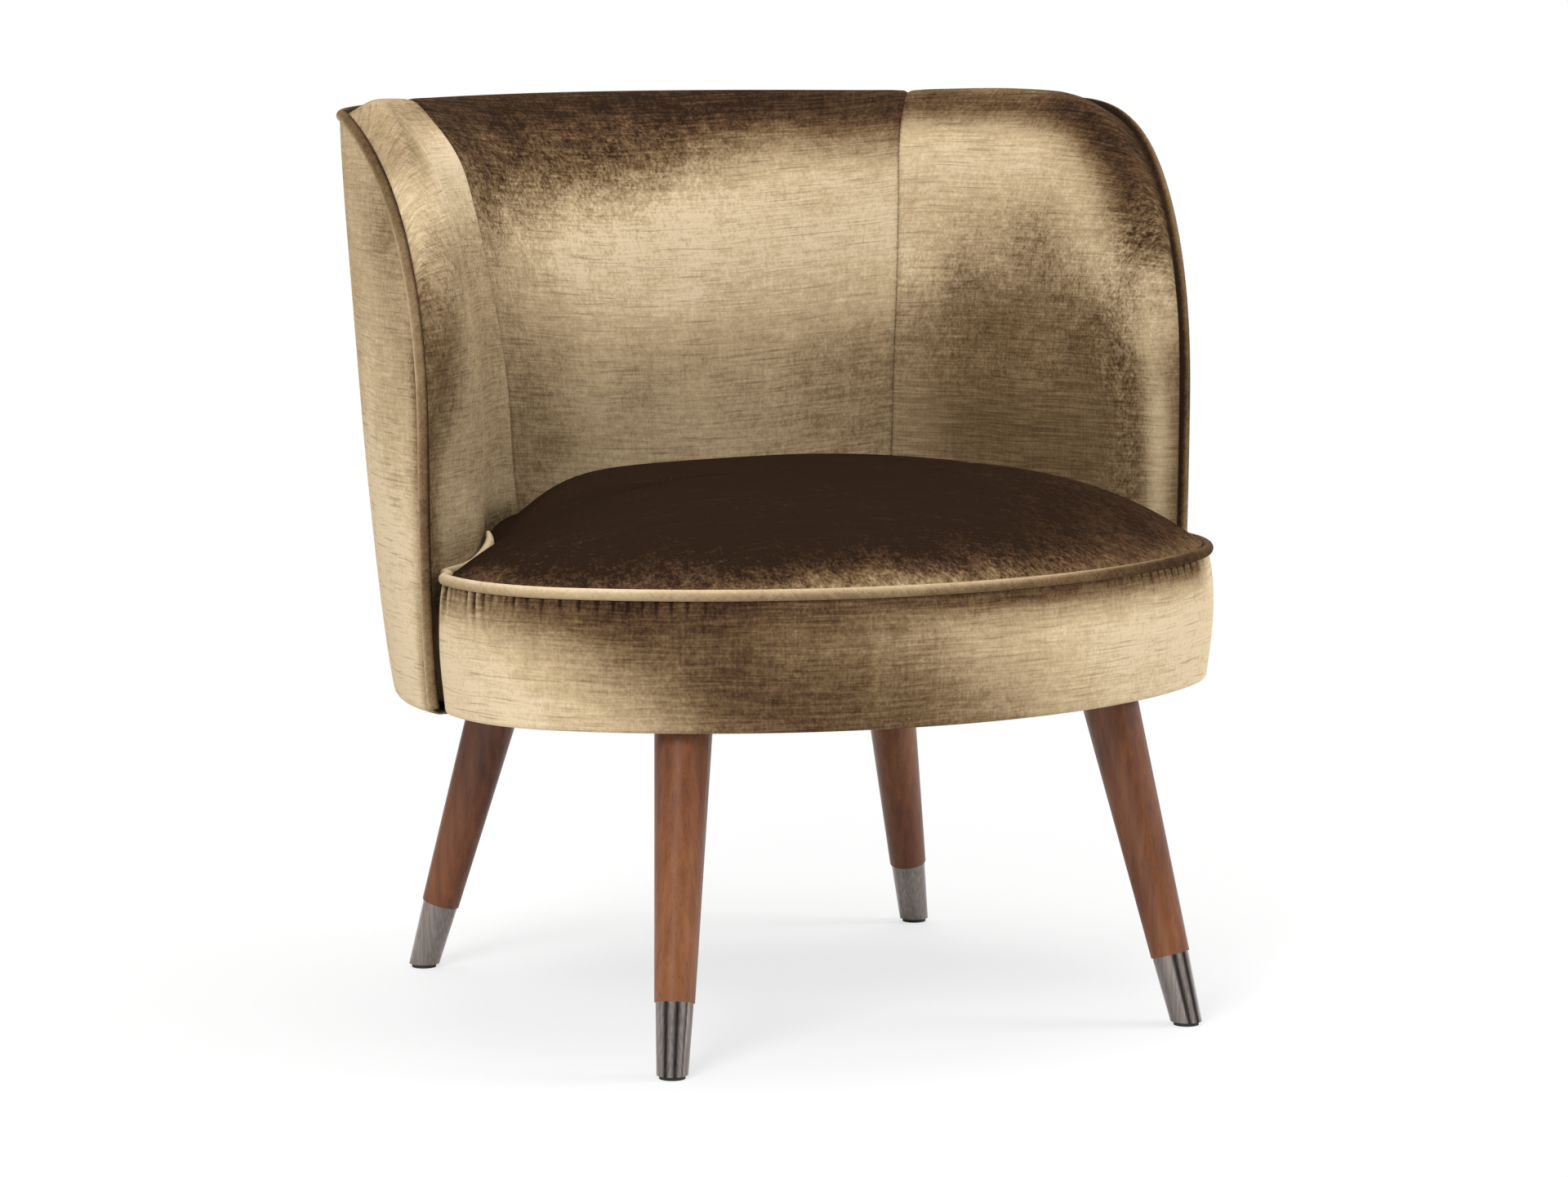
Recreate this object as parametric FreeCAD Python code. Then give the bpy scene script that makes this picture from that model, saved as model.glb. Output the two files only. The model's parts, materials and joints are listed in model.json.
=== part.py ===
import FreeCAD, Part
import math
import os

# Easy chair with a tub back. Millimetres, +Z up, the sitter looks along -Y and their left is +X.
# The origin lies on the floor under the middle of the chair.

# Heights above the floor: the hem, the frame and the crown go with the seat's piping
seat_piping_height = 363.0
back_edge_height = 712.0
apron_height = 106.0
frame_lift = 3.6
crown_rise = 68.0
wing_front_rise = 111.0
curl_rise = 96.0
belly_rise = 137.0
seat_rail_height = 65.0
tuck_height = 8.0

# Tub back: an oval in plan, narrower at the bottom than at the top
tub_axis_y = -41.25
tub_half_width = 357.0
tub_half_depth = 363.0
unroll_inset = 15.0
side_taper = 37.9
back_taper = 95.0
wing_edge_angle = -8.4
seam_angle = 43.0
corner_length = 176.0
corner_power = 2.16
taper_share = 0.88
taper_power = 1.36
hem_power = 12.0
wing_curl_share = 0.076
wing_curl_length = 117.0

# Upholstery wall
side_wall = 86.0
back_wall = 104.0
wing_roll_length = 130.0
top_roll_length = 160.0
wing_roll_power = 1.0
top_roll_power = 3.5
crest_rise_share = 0.14
crest_depth_share = 0.55
edge_depth_share = 0.3
flap_rise_share = 0.33
belly_depth = 7.0
belly_reach = 75.0

# Layers and gaps
cover_thickness = 1.6
lining_thickness = 3.0
hessian_thickness = 1.2
wadding_thickness = 5.8
board_thickness = 4.0
piping_diameter = 9.0
fit_gap = 0.3
seam_room = 1.0
hessian_lap = 10.0

# Hem: the covers turn under the frame
hem_rise = 1.4
hem_width = 16.0
hem_roundness = 6.0
hem_turn = 5.0

# Back frame
rim_foam_depth = 36.0
rim_bar_width = 30.0
frame_depth = 27.7
bottom_rail_height = 40.0
upright_width = 40.0
upright_angles = (50.0, 77.0)
post_skew = 3.0
post_end_share = 0.24
shelf_room = 1.5

# Seat plan: a front arc that runs into a tighter arc at each ear, and a small corner behind it
seat_front_reach = 280.0
ear_side_room = 31.0
ear_tip_reach = 72.4
ear_arc_radius = 139.0
ear_corner_radius = 18.0
ear_straight = 8.0
apron_bulge = 5.0
bulge_fade_angle = 60.0
corner_angles = (105.0, 120.0, 140.0)
crown_reach = 180.0
crown_power = 2.2
back_dip = 8.0
back_dip_reach = 60.0
notch_start = 16.0
notch_end = 185.0
notch_room = 1.5
board_drop = 11.0
board_end_angle = 88.0

# Seat ring
rail_thickness = 26.0
leg_block_width = 62.0
leg_block_depth = 53.0
leg_block_height = 40.0
side_rail_start = 50.0
ear_rail_angle = 62.0
ear_bend_angle = 75.0
rail_pass_start = 22.0
rail_lap_start = 54.0
rail_lap_end = 120.0
bolt_hole_room = 0.3
frame_bolt_diameter = 6.0
frame_bolt_length = 48.0
frame_bolt_head = 11.0
frame_bolt_head_height = 3.5
bolt_head_room = 1.0
frame_bolt_angles = (22.0, 64.0, 90.0)

# Legs: where their axes pass the bottom of the frame, and how far they lean out for their height
front_leg_turn_share = 0.703
front_leg_inset = 38.1
front_side_lean_share = 0.151
front_lean_share = 0.240
back_leg_angle = 44.92
back_leg_inset = 49.1
back_side_lean_share = 0.217
back_lean_share = 0.192
leg_top_diameter = 45.0
leg_ferrule_end_diameter = 31.0
ferrule_height = 55.0
ferrule_top_diameter = 29.0
ferrule_bottom_diameter = 24.0
ferrule_wall = 1.5
glide_diameter = 20.0
glide_thickness = 3.0
glide_pin_diameter = 4.0
glide_pin_length = 16.0
bolt_diameter = 8.0
bolt_length = 70.0
bolt_in_leg = 35.0
nut_flange_diameter = 22.0
nut_flange_thickness = 1.6
nut_barrel_diameter = 10.0
nut_barrel_length = 14.0

# Webbing under the seat foam, and the dust cover
web_width = 70.0
web_thickness = 1.5
web_lap = 6.5
first_web_room = 90.0
last_web_room = 225.0
cross_web_count = 5
long_web_room = 135.0
long_web_count = 4
dust_cover_thickness = 0.8
dust_cover_inset = 10.0
dust_cover_start = 25.0

# Where sections are taken: places along the tub, and shares of a height or a width
straight_share = 0.00001
even_step = 24.0
step_room = 4.8
slope_step = 0.5
wing_station_shares = (1, 1.7, 2.7, 4.2, 6.0)
post_stations = (45.0, 57.0, 72.0, 92.0)
hem_shares = (0, 0.3, 0.55, 0.76, 0.9, 0.96, 1)
roll_depth_shares = (0, 0, 0.03, 0.09, 0.23, 0.42, 0.62, 0.81, 1)
down_shares = (1, 1, 0.7, 0.3, 0, 0, 0, 0, 0, 0, 0)
inward_shares = (0, 0.3, 0.8, 0.95, 1, 1, 1, 1, 1, 1, 1)
crown_shares = (0, 0.05, 0.12, 0.21, 0.32, 0.45, 0.62, 0.8, 1)
slice_shares = (0.1, 0.2, 0.3, 0.4, 0.5, 0.6, 0.7, 0.78, 0.85, 0.91, 0.96)
apron_shares = (0, 0.17, 0.34, 0.51, 0.68, 0.85, 1)

# Levels and depths that follow from these
apron_bottom = seat_piping_height - apron_height
frame_bottom = apron_bottom + frame_lift
seat_crown_height = seat_piping_height + crown_rise
corner_start_height = seat_piping_height + wing_front_rise
curl_height = seat_piping_height + curl_rise
belly_height = seat_piping_height + belly_rise
seat_rail_top = frame_bottom + seat_rail_height
seat_deck = seat_rail_top + 2 * (web_thickness + fit_gap)
hem_level = apron_bottom + hem_rise + cover_thickness + fit_gap
leg_block_top = frame_bottom + leg_block_height
tub_unroll_radius = (tub_half_width + tub_half_depth) / 2 - unroll_inset
lining_inset = cover_thickness + 2 * fit_gap
frame_inset = lining_inset + lining_thickness + fit_gap
hessian_inset = frame_inset + frame_depth + fit_gap
foam_inset = hessian_inset + hessian_thickness + fit_gap
ring_inset = hessian_inset
foam_offset = cover_thickness + fit_gap
piping_clear = piping_diameter / 2 + fit_gap
foam_clear = 2 * piping_clear + notch_room
edge_foam_end = rim_foam_depth - fit_gap
board_inset = foam_offset + wadding_thickness + fit_gap
ring_front_inset = board_inset + board_thickness + fit_gap
bolt_head_inset = frame_inset + bolt_head_room

# The ear arc touches the front arc, which is as large as its front and the ear's place ask
ear_centre_x = tub_half_width - ear_side_room - ear_arc_radius
ear_centre_y = tub_axis_y - ear_tip_reach
seat_front_y = tub_axis_y - seat_front_reach
ear_depth = ear_centre_y - seat_front_y
ear_square = ear_centre_x ** 2 + ear_depth ** 2 - ear_arc_radius ** 2
front_arc_radius = ear_square / (2 * (ear_depth - ear_arc_radius))
front_arc_centre_y = seat_front_y + front_arc_radius
ear_turn_angle = math.degrees(math.atan2(ear_centre_x, front_arc_centre_y - ear_centre_y))

V = FreeCAD.Vector
parts = {}


def add(name, shape):
    """Keep one finished piece under its name."""
    parts[name] = shape


def mirrored(shape):
    """The same piece on the sitter's right."""
    return shape.mirror(V(0, 0, 0), V(1, 0, 0))


# Curves and lofts

def arc_chain(points):
    """Edges through a list of points, an arc over every three of them."""
    edges = []
    for first in range(0, len(points) - 2, 2):
        a, b, c = points[first:first + 3]
        bent = (b - a).cross(c - a).Length > straight_share * (c - a).Length ** 2
        edges.append(Part.Arc(a, b, c).toShape() if bent else Part.LineSegment(a, c).toShape())
    return edges


def closed_wire(front, back):
    """A closed section: one chain of arcs, a line, a second chain back, a line."""
    edges = arc_chain(front)
    edges.append(Part.LineSegment(front[-1], back[0]).toShape())
    edges += arc_chain(back)
    edges.append(Part.LineSegment(back[-1], front[0]).toShape())
    return Part.Wire(edges)


def loft(wires, straight=False):
    """A closed solid through a row of sections, smooth or with straight runs between them."""
    solid = Part.makeLoft(wires, True, straight)
    if solid.Volume < 0:
        solid.reverse()
    return solid


def polygon_loft(rows):
    """A solid through straight-sided sections, each a list of corner points."""
    solid = Part.makeLoft([Part.makePolygon(row + [row[0]]) for row in rows], True, True)
    if solid.Volume < 0:
        solid.reverse()
    return solid


def spread(first, last, count):
    """Evenly spaced values from first to last."""
    return [first + (last - first) * i / (count - 1) for i in range(count)]


def tube(points, guides, diameter, straight=False):
    """A round cord through points; each guide is a direction across the path."""
    wires = []
    radius = diameter / 2
    last = len(points) - 1
    for i, point in enumerate(points):
        run = points[min(i + 1, last)] - points[max(i - 1, 0)]
        run.normalize()
        across = guides[i] - run * guides[i].dot(run)
        across.normalize()
        other = run.cross(across)
        ring = []
        for step in range(7):
            turn = math.pi * step / 3
            ring.append(point + across * (radius * math.cos(turn)) + other * (radius * math.sin(turn)))
        wires.append(Part.Wire(arc_chain(ring)))
    return loft(wires, straight)


# Shape of the tub back. "along" runs round the outside from the front edge of one wing.

half_tub = math.radians(90 - wing_edge_angle) * tub_unroll_radius
seam_along = math.radians(seam_angle - wing_edge_angle) * tub_unroll_radius


def stations_between(first, last):
    """Places along the tub from first to last: close together at the wings, then even."""
    half = [piping_diameter / 2 * s for s in wing_station_shares] + list(post_stations)
    count = round((half_tub - post_stations[-1]) / even_step)
    half += spread(post_stations[-1] + even_step, half_tub, count)
    places = half + [2 * half_tub - a for a in reversed(half[:-1])]
    return [first] + [a for a in places if first + step_room < a < last - step_room] + [last]


def tub_angle(along):
    """Direction from the tub axis, from +X towards the back."""
    return wing_edge_angle + math.degrees(along / tub_unroll_radius)


def tub_drop(z):
    """Share of the taper reached at a height, with a quicker turn near the hem."""
    depth = (back_edge_height - z) / (back_edge_height - apron_bottom)
    depth = min(max(depth, 0), 1)
    return taper_share * depth ** taper_power + (1 - taper_share) * depth ** hem_power


def tub_point(along, z, inset):
    """A point at a depth inside the outer face of the tub, whose wings curl in at the top."""
    turn = math.radians(tub_angle(along))
    c, s = math.cos(turn), math.sin(turn)
    oval = 1 / math.hypot(c / tub_half_width, s / tub_half_depth)
    taper = side_taper * c * c + back_taper * s * s
    near = min(along, 2 * half_tub - along) / wing_curl_length
    curl = wing_curl_share * (z - curl_height) * math.exp(-near * near)
    radius = oval - taper * tub_drop(z) - curl - inset
    return V(radius * c, tub_axis_y + radius * s, z)


def edge_height(along, depth):
    """Height of the curve that lies a depth inside the wing and top edge."""
    along = min(along, 2 * half_tub - along)
    rise = back_edge_height - corner_start_height - depth
    share = (corner_length - along) / (corner_length - depth)
    share = min(max(share, 0), 1)
    return corner_start_height + rise * (1 - share ** corner_power) ** (1 / corner_power)


corner_steps = spread(0, 1, 41)
corner_curve = [(corner_length * t * t, edge_height(corner_length * t * t, 0)) for t in corner_steps]


def edge_distance(along, z):
    """Distance to the wing and top edge, and how far up the corner the nearest point lies."""
    along = min(along, 2 * half_tub - along)
    if z <= corner_start_height:
        return along, 0
    if along >= corner_length:
        return back_edge_height - z, 1
    found = min((math.hypot(along - a, z - b), b) for a, b in corner_curve)
    rise = back_edge_height - corner_start_height
    return found[0], (found[1] - corner_start_height) / rise


def wall_depth(along, z):
    """Depth of the upholstered wall, which rolls away towards its edge."""
    distance, share = edge_distance(along, z)
    turn = math.radians(tub_angle(along))
    full = side_wall * math.cos(turn) ** 2 + back_wall * math.sin(turn) ** 2
    length = wing_roll_length + (top_roll_length - wing_roll_length) * share
    power = wing_roll_power + (top_roll_power - wing_roll_power) * share
    near = min(distance / length, 1)
    belly = belly_depth * near * near * math.exp(-((z - belly_height) / belly_reach) ** 2)
    return full * (1 - (1 - near) ** 2) ** (1 / power) + belly


def wall_line(along, floor, offset, start):
    """The inner face from the edge piping over the roll and down, in one upright plane."""
    top = edge_height(along, 0)
    tuck = seat_deck + tuck_height
    heights = [top - share * (top - tuck) for share in roll_depth_shares]
    heights += [(tuck + floor) / 2, floor]
    depths = [wall_depth(along, z) for z in heights]
    roll = depths[2]
    heights[1] = top + crest_rise_share * roll
    depths[1] = crest_depth_share * roll
    depths[0] = min(start, edge_depth_share * roll)
    points = []
    for i, z in enumerate(heights):
        points.append(tub_point(along, z - offset * down_shares[i], depths[i] - offset * inward_shares[i]))
    return points


# Wing and top edge: stations along it, each with the direction into the wall

def rim_station(along, z):
    """One place on the edge with its inward direction in the unrolled wall."""
    if z < corner_start_height or along == 0:
        return along, z, 1, 0
    if along >= corner_length:
        return along, z, 0, -1
    rise = edge_height(along + slope_step, 0) - edge_height(along - slope_step, 0)
    length = math.hypot(2 * slope_step, rise)
    return along, z, rise / length, -2 * slope_step / length


def rim_point(station, depth, inset):
    """A point a depth behind the edge and an inset inside the outer face."""
    along, z, turn_along, turn_up = station
    return tub_point(along + depth * turn_along, z + depth * turn_up, inset)


def rim_stations(floor):
    """The edge from the floor of a wing up and round to the middle of the back."""
    rows = [rim_station(0, z) for z in spread(floor, corner_start_height, 6)]
    rows += [rim_station(a, z) for a, z in corner_curve[4::4]]
    rows += [rim_station(a, back_edge_height) for a in spread(corner_length, half_tub, 15)[1:]]
    return rows


def whole_rim(floor):
    """Edge points and inward guides for both wings and the back."""
    half = rim_stations(floor)
    points = [rim_point(row, 0, 0) for row in half]
    guides = [rim_point(row, 0, piping_diameter) - rim_point(row, 0, 0) for row in half]
    points += [V(-p.x, p.y, p.z) for p in reversed(points[:-1])]
    guides += [V(-g.x, g.y, g.z) for g in reversed(guides[:-1])]
    return points, guides


def rim_bar_rows(stations):
    """Sections of a frame bar that follows the edge inside the rim foam."""
    near = rim_foam_depth + fit_gap
    far = near + rim_bar_width
    rows = []
    for row in stations:
        first, second = rim_point(row, near, frame_inset), rim_point(row, far, frame_inset)
        inward = rim_point(row, near, frame_inset + frame_depth) - first
        rows.append([first, second, second + inward, first + inward])
    return rows


def across_rows(rows):
    """The same rows followed by their mirror images on the sitter's right."""
    return rows + [[V(-p.x, p.y, p.z) for p in row] for row in reversed(rows[:-1])]


def flap_floor(along):
    """The inner cover's lower edge: it runs down behind the apron and rises behind the seat."""
    share = (along - edge_foam_end) / (flap_rise_share * rim_foam_depth)
    share = min(max(share, 0), 1)
    return hem_level + (seat_deck - hem_level) * share


def inner_cover(stations):
    """A sewn skin over the roll and the inner face."""
    wires = []
    for along in stations:
        floor = flap_floor(min(along, 2 * half_tub - along))
        front = wall_line(along, floor, 0, piping_clear)
        back = wall_line(along, floor, cover_thickness, piping_clear)
        wires.append(closed_wire(front, list(reversed(back))))
    return loft(wires, True)


def wing_edge_foam(stations):
    """The soft strip in front of the wing post, from the hem to the corner."""
    wires = []
    for along in stations:
        front = wall_line(along, hem_level, foam_offset, piping_clear)
        top, bottom = front[0].z, hem_level
        levels = [top - share * (top - bottom) for share in reversed(hem_shares)]
        back = [tub_point(along, z, lining_inset) for z in levels]
        wires.append(closed_wire(front, back))
    return loft(wires, True)


def wall_foam(stations):
    """The foam wall, which wraps over the frame up to the outer edge."""
    wires = []
    for along in stations:
        front = wall_line(along, seat_deck, foam_offset, piping_clear)
        shelf = edge_height(along, rim_foam_depth - shelf_room)
        edges = arc_chain(front)
        rise = [tub_point(along, z, foam_inset) for z in (seat_deck, (seat_deck + shelf) / 2, shelf)]
        edges.append(Part.LineSegment(front[-1], rise[0]).toShape())
        edges += arc_chain(rise)
        lip = tub_point(along, shelf, lining_inset)
        edges.append(Part.LineSegment(rise[-1], lip).toShape())
        edges.append(Part.LineSegment(lip, front[0]).toShape())
        wires.append(Part.Wire(edges))
    return loft(wires, True)


def sheet_between(stations, floor, depth, inset, thickness, shares):
    """A thin curved sheet that stands between a floor and a line below the edge."""
    wires = []
    for along in stations:
        top = edge_height(along, depth)
        levels = [top - share * (top - floor) for share in shares]
        front = [tub_point(along, z, inset) for z in levels]
        back = [tub_point(along, z, inset + thickness) for z in reversed(levels)]
        wires.append(closed_wire(front, back))
    return loft(wires, True)


def outer_cover(stations):
    """The outside cover, turned under the frame at the hem."""
    wires = []
    for along in stations:
        top = edge_height(along, piping_clear)
        floor = apron_bottom + hem_roundness
        front, back = [], []
        for share in hem_shares:
            z = top - share * (top - floor)
            front.append(tub_point(along, z, 0))
            back.append(tub_point(along, z, cover_thickness))
        low = apron_bottom + hem_rise
        front.append(tub_point(along, low, hem_turn))
        front.append(tub_point(along, low, hem_width))
        back.append(tub_point(along, low + cover_thickness, hem_turn + cover_thickness))
        back.append(tub_point(along, low + cover_thickness, hem_width))
        wires.append(closed_wire(front, list(reversed(back))))
    return loft(wires, True)


def make_back_frame():
    """Two wing posts, a top rail, a bottom rail and four uprights."""
    stations = rim_stations(frame_bottom)
    post_end = [row[0] > post_end_share * corner_length for row in stations].index(True)
    post = polygon_loft(rim_bar_rows(stations[:post_end + 1]))
    add("left_wing_post", post)
    add("right_wing_post", mirrored(post))
    add("back_top_rail", polygon_loft(across_rows(rim_bar_rows(stations[post_end:]))))
    start = rim_foam_depth + rim_bar_width + post_skew
    rows = []
    inner = frame_inset + frame_depth
    for along in stations_between(start, 2 * half_tub - start):
        low, high = frame_bottom, frame_bottom + bottom_rail_height
        rows.append([tub_point(along, low, frame_inset), tub_point(along, high, frame_inset),
                     tub_point(along, high, inner), tub_point(along, low, inner)])
    add("back_bottom_rail", polygon_loft(rows))
    floor = frame_bottom + bottom_rail_height + fit_gap
    top = back_edge_height - rim_foam_depth - rim_bar_width - 2 * fit_gap
    for name, angle in zip(("side", "back"), upright_angles):
        along = math.radians(angle - wing_edge_angle) * tub_unroll_radius
        wires = []
        sides = spread(along - upright_width / 2, along + upright_width / 2, 3)
        for z in spread(floor, top, 9):
            front = [tub_point(a, z, frame_inset) for a in sides]
            back = [tub_point(a, z, inner) for a in reversed(sides)]
            wires.append(closed_wire(front, back))
        upright = loft(wires, True)
        add("left_" + name + "_upright", upright)
        add("right_" + name + "_upright", mirrored(upright))


def make_back_upholstery():
    """Lining, hessian, foam, covers and edge piping of the tub."""
    start = rim_foam_depth + fit_gap
    side = stations_between(start, seam_along - fit_gap)
    middle = stations_between(seam_along, 2 * half_tub - seam_along)
    lining = sheet_between(side, frame_bottom, rim_foam_depth, lining_inset, lining_thickness, hem_shares)
    add("left_outer_lining", lining)
    add("right_outer_lining", mirrored(lining))
    add("back_outer_lining", sheet_between(middle, frame_bottom, rim_foam_depth, lining_inset,
                                           lining_thickness, hem_shares))
    around = stations_between(start + hessian_lap, 2 * half_tub - start - hessian_lap)
    add("back_hessian", sheet_between(around, seat_deck, rim_foam_depth + fit_gap, hessian_inset,
                                      hessian_thickness, spread(0, 1, 9)))
    foam = wall_foam(side)
    add("left_side_foam", foam)
    add("right_side_foam", mirrored(foam))
    add("back_foam", wall_foam(middle))
    edge = wing_edge_foam(stations_between(piping_clear, edge_foam_end))
    add("left_wing_edge_foam", edge)
    add("right_wing_edge_foam", mirrored(edge))
    cover = inner_cover(stations_between(piping_clear + seam_room, edge_foam_end) + side)
    add("left_side_cover", cover)
    add("right_side_cover", mirrored(cover))
    add("back_centre_cover", inner_cover(middle))
    outside = stations_between(piping_clear, 2 * half_tub - piping_clear)
    add("outer_back_cover", outer_cover(outside))
    points, guides = whole_rim(apron_bottom + piping_clear)
    add("back_piping", tube(points, guides, piping_diameter))


# Seat plan: the front outline in real plan sizes, for the sitter's left half

def front_point(turn, inset):
    """Outline point where the front has turned by some degrees, from 0 at the middle to 90."""
    t = math.radians(turn)
    if turn <= ear_turn_angle:
        radius = front_arc_radius - inset
        return V(radius * math.sin(t), front_arc_centre_y - radius * math.cos(t), 0)
    radius = ear_arc_radius - inset
    return V(ear_centre_x + radius * math.sin(t), ear_centre_y - radius * math.cos(t), 0)


def ear_point(turn, inset):
    """The small rounded corner behind the ear, from 90 degrees of turn onwards."""
    t = math.radians(turn)
    tip = front_point(90, 0)
    radius = ear_corner_radius - inset
    centre = V(tip.x - ear_corner_radius, tip.y + ear_straight, 0)
    return centre + V(radius * math.sin(t), -radius * math.cos(t), 0)


def outline_point(turn, inset):
    """The seat outline from the middle of the front round the ear."""
    return front_point(turn, inset) if turn <= 90 else ear_point(turn, inset)


def at_height(point, z):
    """The same plan point at a height."""
    return V(point.x, point.y, z)


def across(points):
    """Points of the left half, then their mirror images, as one run from left to right."""
    return list(reversed(points)) + [V(-p.x, p.y, p.z) for p in points[1:]]


def notch_points(z, clearance, first, last, count):
    """The line that stays a clearance in front of the wing's inner face at a height."""
    points = []
    for along in spread(first, last, count):
        points.append(tub_point(along, z, wall_depth(along, z) + clearance))
    return points


def rail(outer, inner, low, high):
    """A flat bar cut from a board: two curved edges and square ends."""
    edges = arc_chain(outer)
    edges.append(Part.LineSegment(outer[-1], inner[-1]).toShape())
    edges += arc_chain(list(reversed(inner)))
    edges.append(Part.LineSegment(inner[0], outer[0]).toShape())
    face = Part.Face(Part.Wire(edges))
    face.translate(V(0, 0, low))
    return face.extrude(V(0, 0, high - low))


def front_rail(first, last, thickness, high):
    """A board along the front outline between two turns."""
    turns = spread(first, last, 5)
    outer = [front_point(t, ring_front_inset) for t in turns]
    inner = [front_point(t, ring_front_inset + thickness) for t in turns]
    return rail(outer, inner, frame_bottom, high)


def tub_rail(first, last, thickness, high):
    """A board inside the tub frame between two places along it."""
    stations = spread(first, last, 5)
    outer = [at_height(tub_point(a, frame_bottom, ring_inset), 0) for a in stations]
    inner = [at_height(tub_point(a, frame_bottom, ring_inset + thickness), 0) for a in stations]
    return rail(outer, inner, frame_bottom, high)


def leg_line(foot, lean, z):
    """Point on a leg's axis at a height."""
    return V(foot[0] + lean[0] * z, foot[1] + lean[1] * z, z)


def leg_stand(place, side_lean, lean):
    """Foot on the floor and the lean per unit of height for a leg that passes a place."""
    foot = (place.x + side_lean * frame_bottom, place.y + lean * frame_bottom)
    return foot, (-side_lean, -lean)


front_leg_turn = front_leg_turn_share * ear_turn_angle
back_leg_along = math.radians(back_leg_angle - wing_edge_angle) * tub_unroll_radius
front_foot, front_lean = leg_stand(front_point(front_leg_turn, front_leg_inset),
                                   front_side_lean_share, -front_lean_share)
back_foot, back_lean = leg_stand(tub_point(back_leg_along, frame_bottom, back_leg_inset),
                                 back_side_lean_share, back_lean_share)
leg_sets = (("front", front_foot, front_lean), ("back", back_foot, back_lean))


def axis_cone(foot, lean, low, high, low_diameter, high_diameter):
    """A round tapered bar on a leg's axis between two heights on that axis."""
    start, end = leg_line(foot, lean, low), leg_line(foot, lean, high)
    run = end - start
    if low_diameter == high_diameter:
        return Part.makeCylinder(low_diameter / 2, run.Length, start, run)
    return Part.makeCone(low_diameter / 2, high_diameter / 2, run.Length, start, run)


def flat_slab(low, high):
    """A slab wide enough for the whole chair, used to cut pieces level."""
    size = 4 * tub_half_width
    return Part.makeBox(size, size, high - low, V(-size / 2, -size / 2, low))


def leg_pieces(foot, lean):
    """Leg, ferrule, glide, hanger bolt and nut on one leaning axis."""
    top = frame_bottom
    stretch = leg_top_diameter
    grow = (leg_top_diameter - leg_ferrule_end_diameter) / (top - ferrule_height)
    wide = leg_top_diameter + grow * stretch
    leg = axis_cone(foot, lean, ferrule_height, top + stretch, leg_ferrule_end_diameter, wide)
    leg = leg.common(flat_slab(0, top))
    bore = ferrule_bottom_diameter - 2 * ferrule_wall
    mouth = ferrule_top_diameter - 2 * ferrule_wall
    cup_floor = glide_thickness + 2 * ferrule_wall
    spigot = axis_cone(foot, lean, cup_floor + fit_gap, ferrule_height + ferrule_wall,
                       bore - 2 * fit_gap, mouth - 2 * fit_gap)
    leg = leg.fuse(spigot)
    bolt_low, bolt_high = top - bolt_in_leg, top - bolt_in_leg + bolt_length
    hole = bolt_diameter + 2 * bolt_hole_room
    leg = leg.cut(axis_cone(foot, lean, bolt_low - fit_gap, bolt_high, hole, hole))
    pin_room = glide_pin_diameter + 2 * bolt_hole_room
    pin_top = glide_thickness + glide_pin_length
    leg = leg.cut(axis_cone(foot, lean, 0, pin_top + fit_gap, pin_room, pin_room))
    ferrule = axis_cone(foot, lean, -stretch, ferrule_height, ferrule_low(foot), ferrule_top_diameter)
    ferrule = ferrule.common(flat_slab(glide_thickness, back_edge_height))
    ferrule = ferrule.cut(axis_cone(foot, lean, cup_floor, ferrule_height, bore, mouth))
    ferrule = ferrule.cut(axis_cone(foot, lean, 0, ferrule_height, pin_room, pin_room))
    at = leg_line(foot, lean, glide_thickness)
    disc = Part.makeCylinder(glide_diameter / 2, glide_thickness, V(at.x, at.y, 0))
    pin = axis_cone(foot, lean, glide_thickness / 2, pin_top, glide_pin_diameter, glide_pin_diameter)
    glide = disc.fuse(pin).removeSplitter()
    bolt = axis_cone(foot, lean, bolt_low, bolt_high, bolt_diameter, bolt_diameter)
    seat = leg_block_top - nut_flange_thickness
    flange = axis_cone(foot, lean, seat - nut_flange_thickness, seat,
                       nut_flange_diameter, nut_flange_diameter)
    barrel = axis_cone(foot, lean, seat - nut_barrel_length, seat,
                       nut_barrel_diameter, nut_barrel_diameter)
    nut = flange.fuse(barrel).removeSplitter()
    nut = nut.cut(axis_cone(foot, lean, 0, leg_block_top, hole, hole))
    return leg, ferrule, glide, bolt, nut


def ferrule_low(foot):
    """Diameter of the ferrule's cone where it is carried below the floor for a level cut."""
    grow = (ferrule_top_diameter - ferrule_bottom_diameter) / ferrule_height
    return ferrule_bottom_diameter - grow * leg_top_diameter


def leg_drill(foot, lean):
    """What is cut from a leg block: bolt hole, nut hole and a pocket for the flange."""
    hole = bolt_diameter + 2 * bolt_hole_room
    room = nut_barrel_diameter + 2 * bolt_hole_room
    pocket = nut_flange_diameter + 2 * bolt_hole_room
    seat = leg_block_top - nut_flange_thickness
    cut = axis_cone(foot, lean, 0, back_edge_height, hole, hole)
    cut = cut.fuse(axis_cone(foot, lean, seat - nut_barrel_length - fit_gap, back_edge_height, room, room))
    low = seat - nut_flange_thickness
    return cut.fuse(axis_cone(foot, lean, low, back_edge_height, pocket, pocket))


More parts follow.
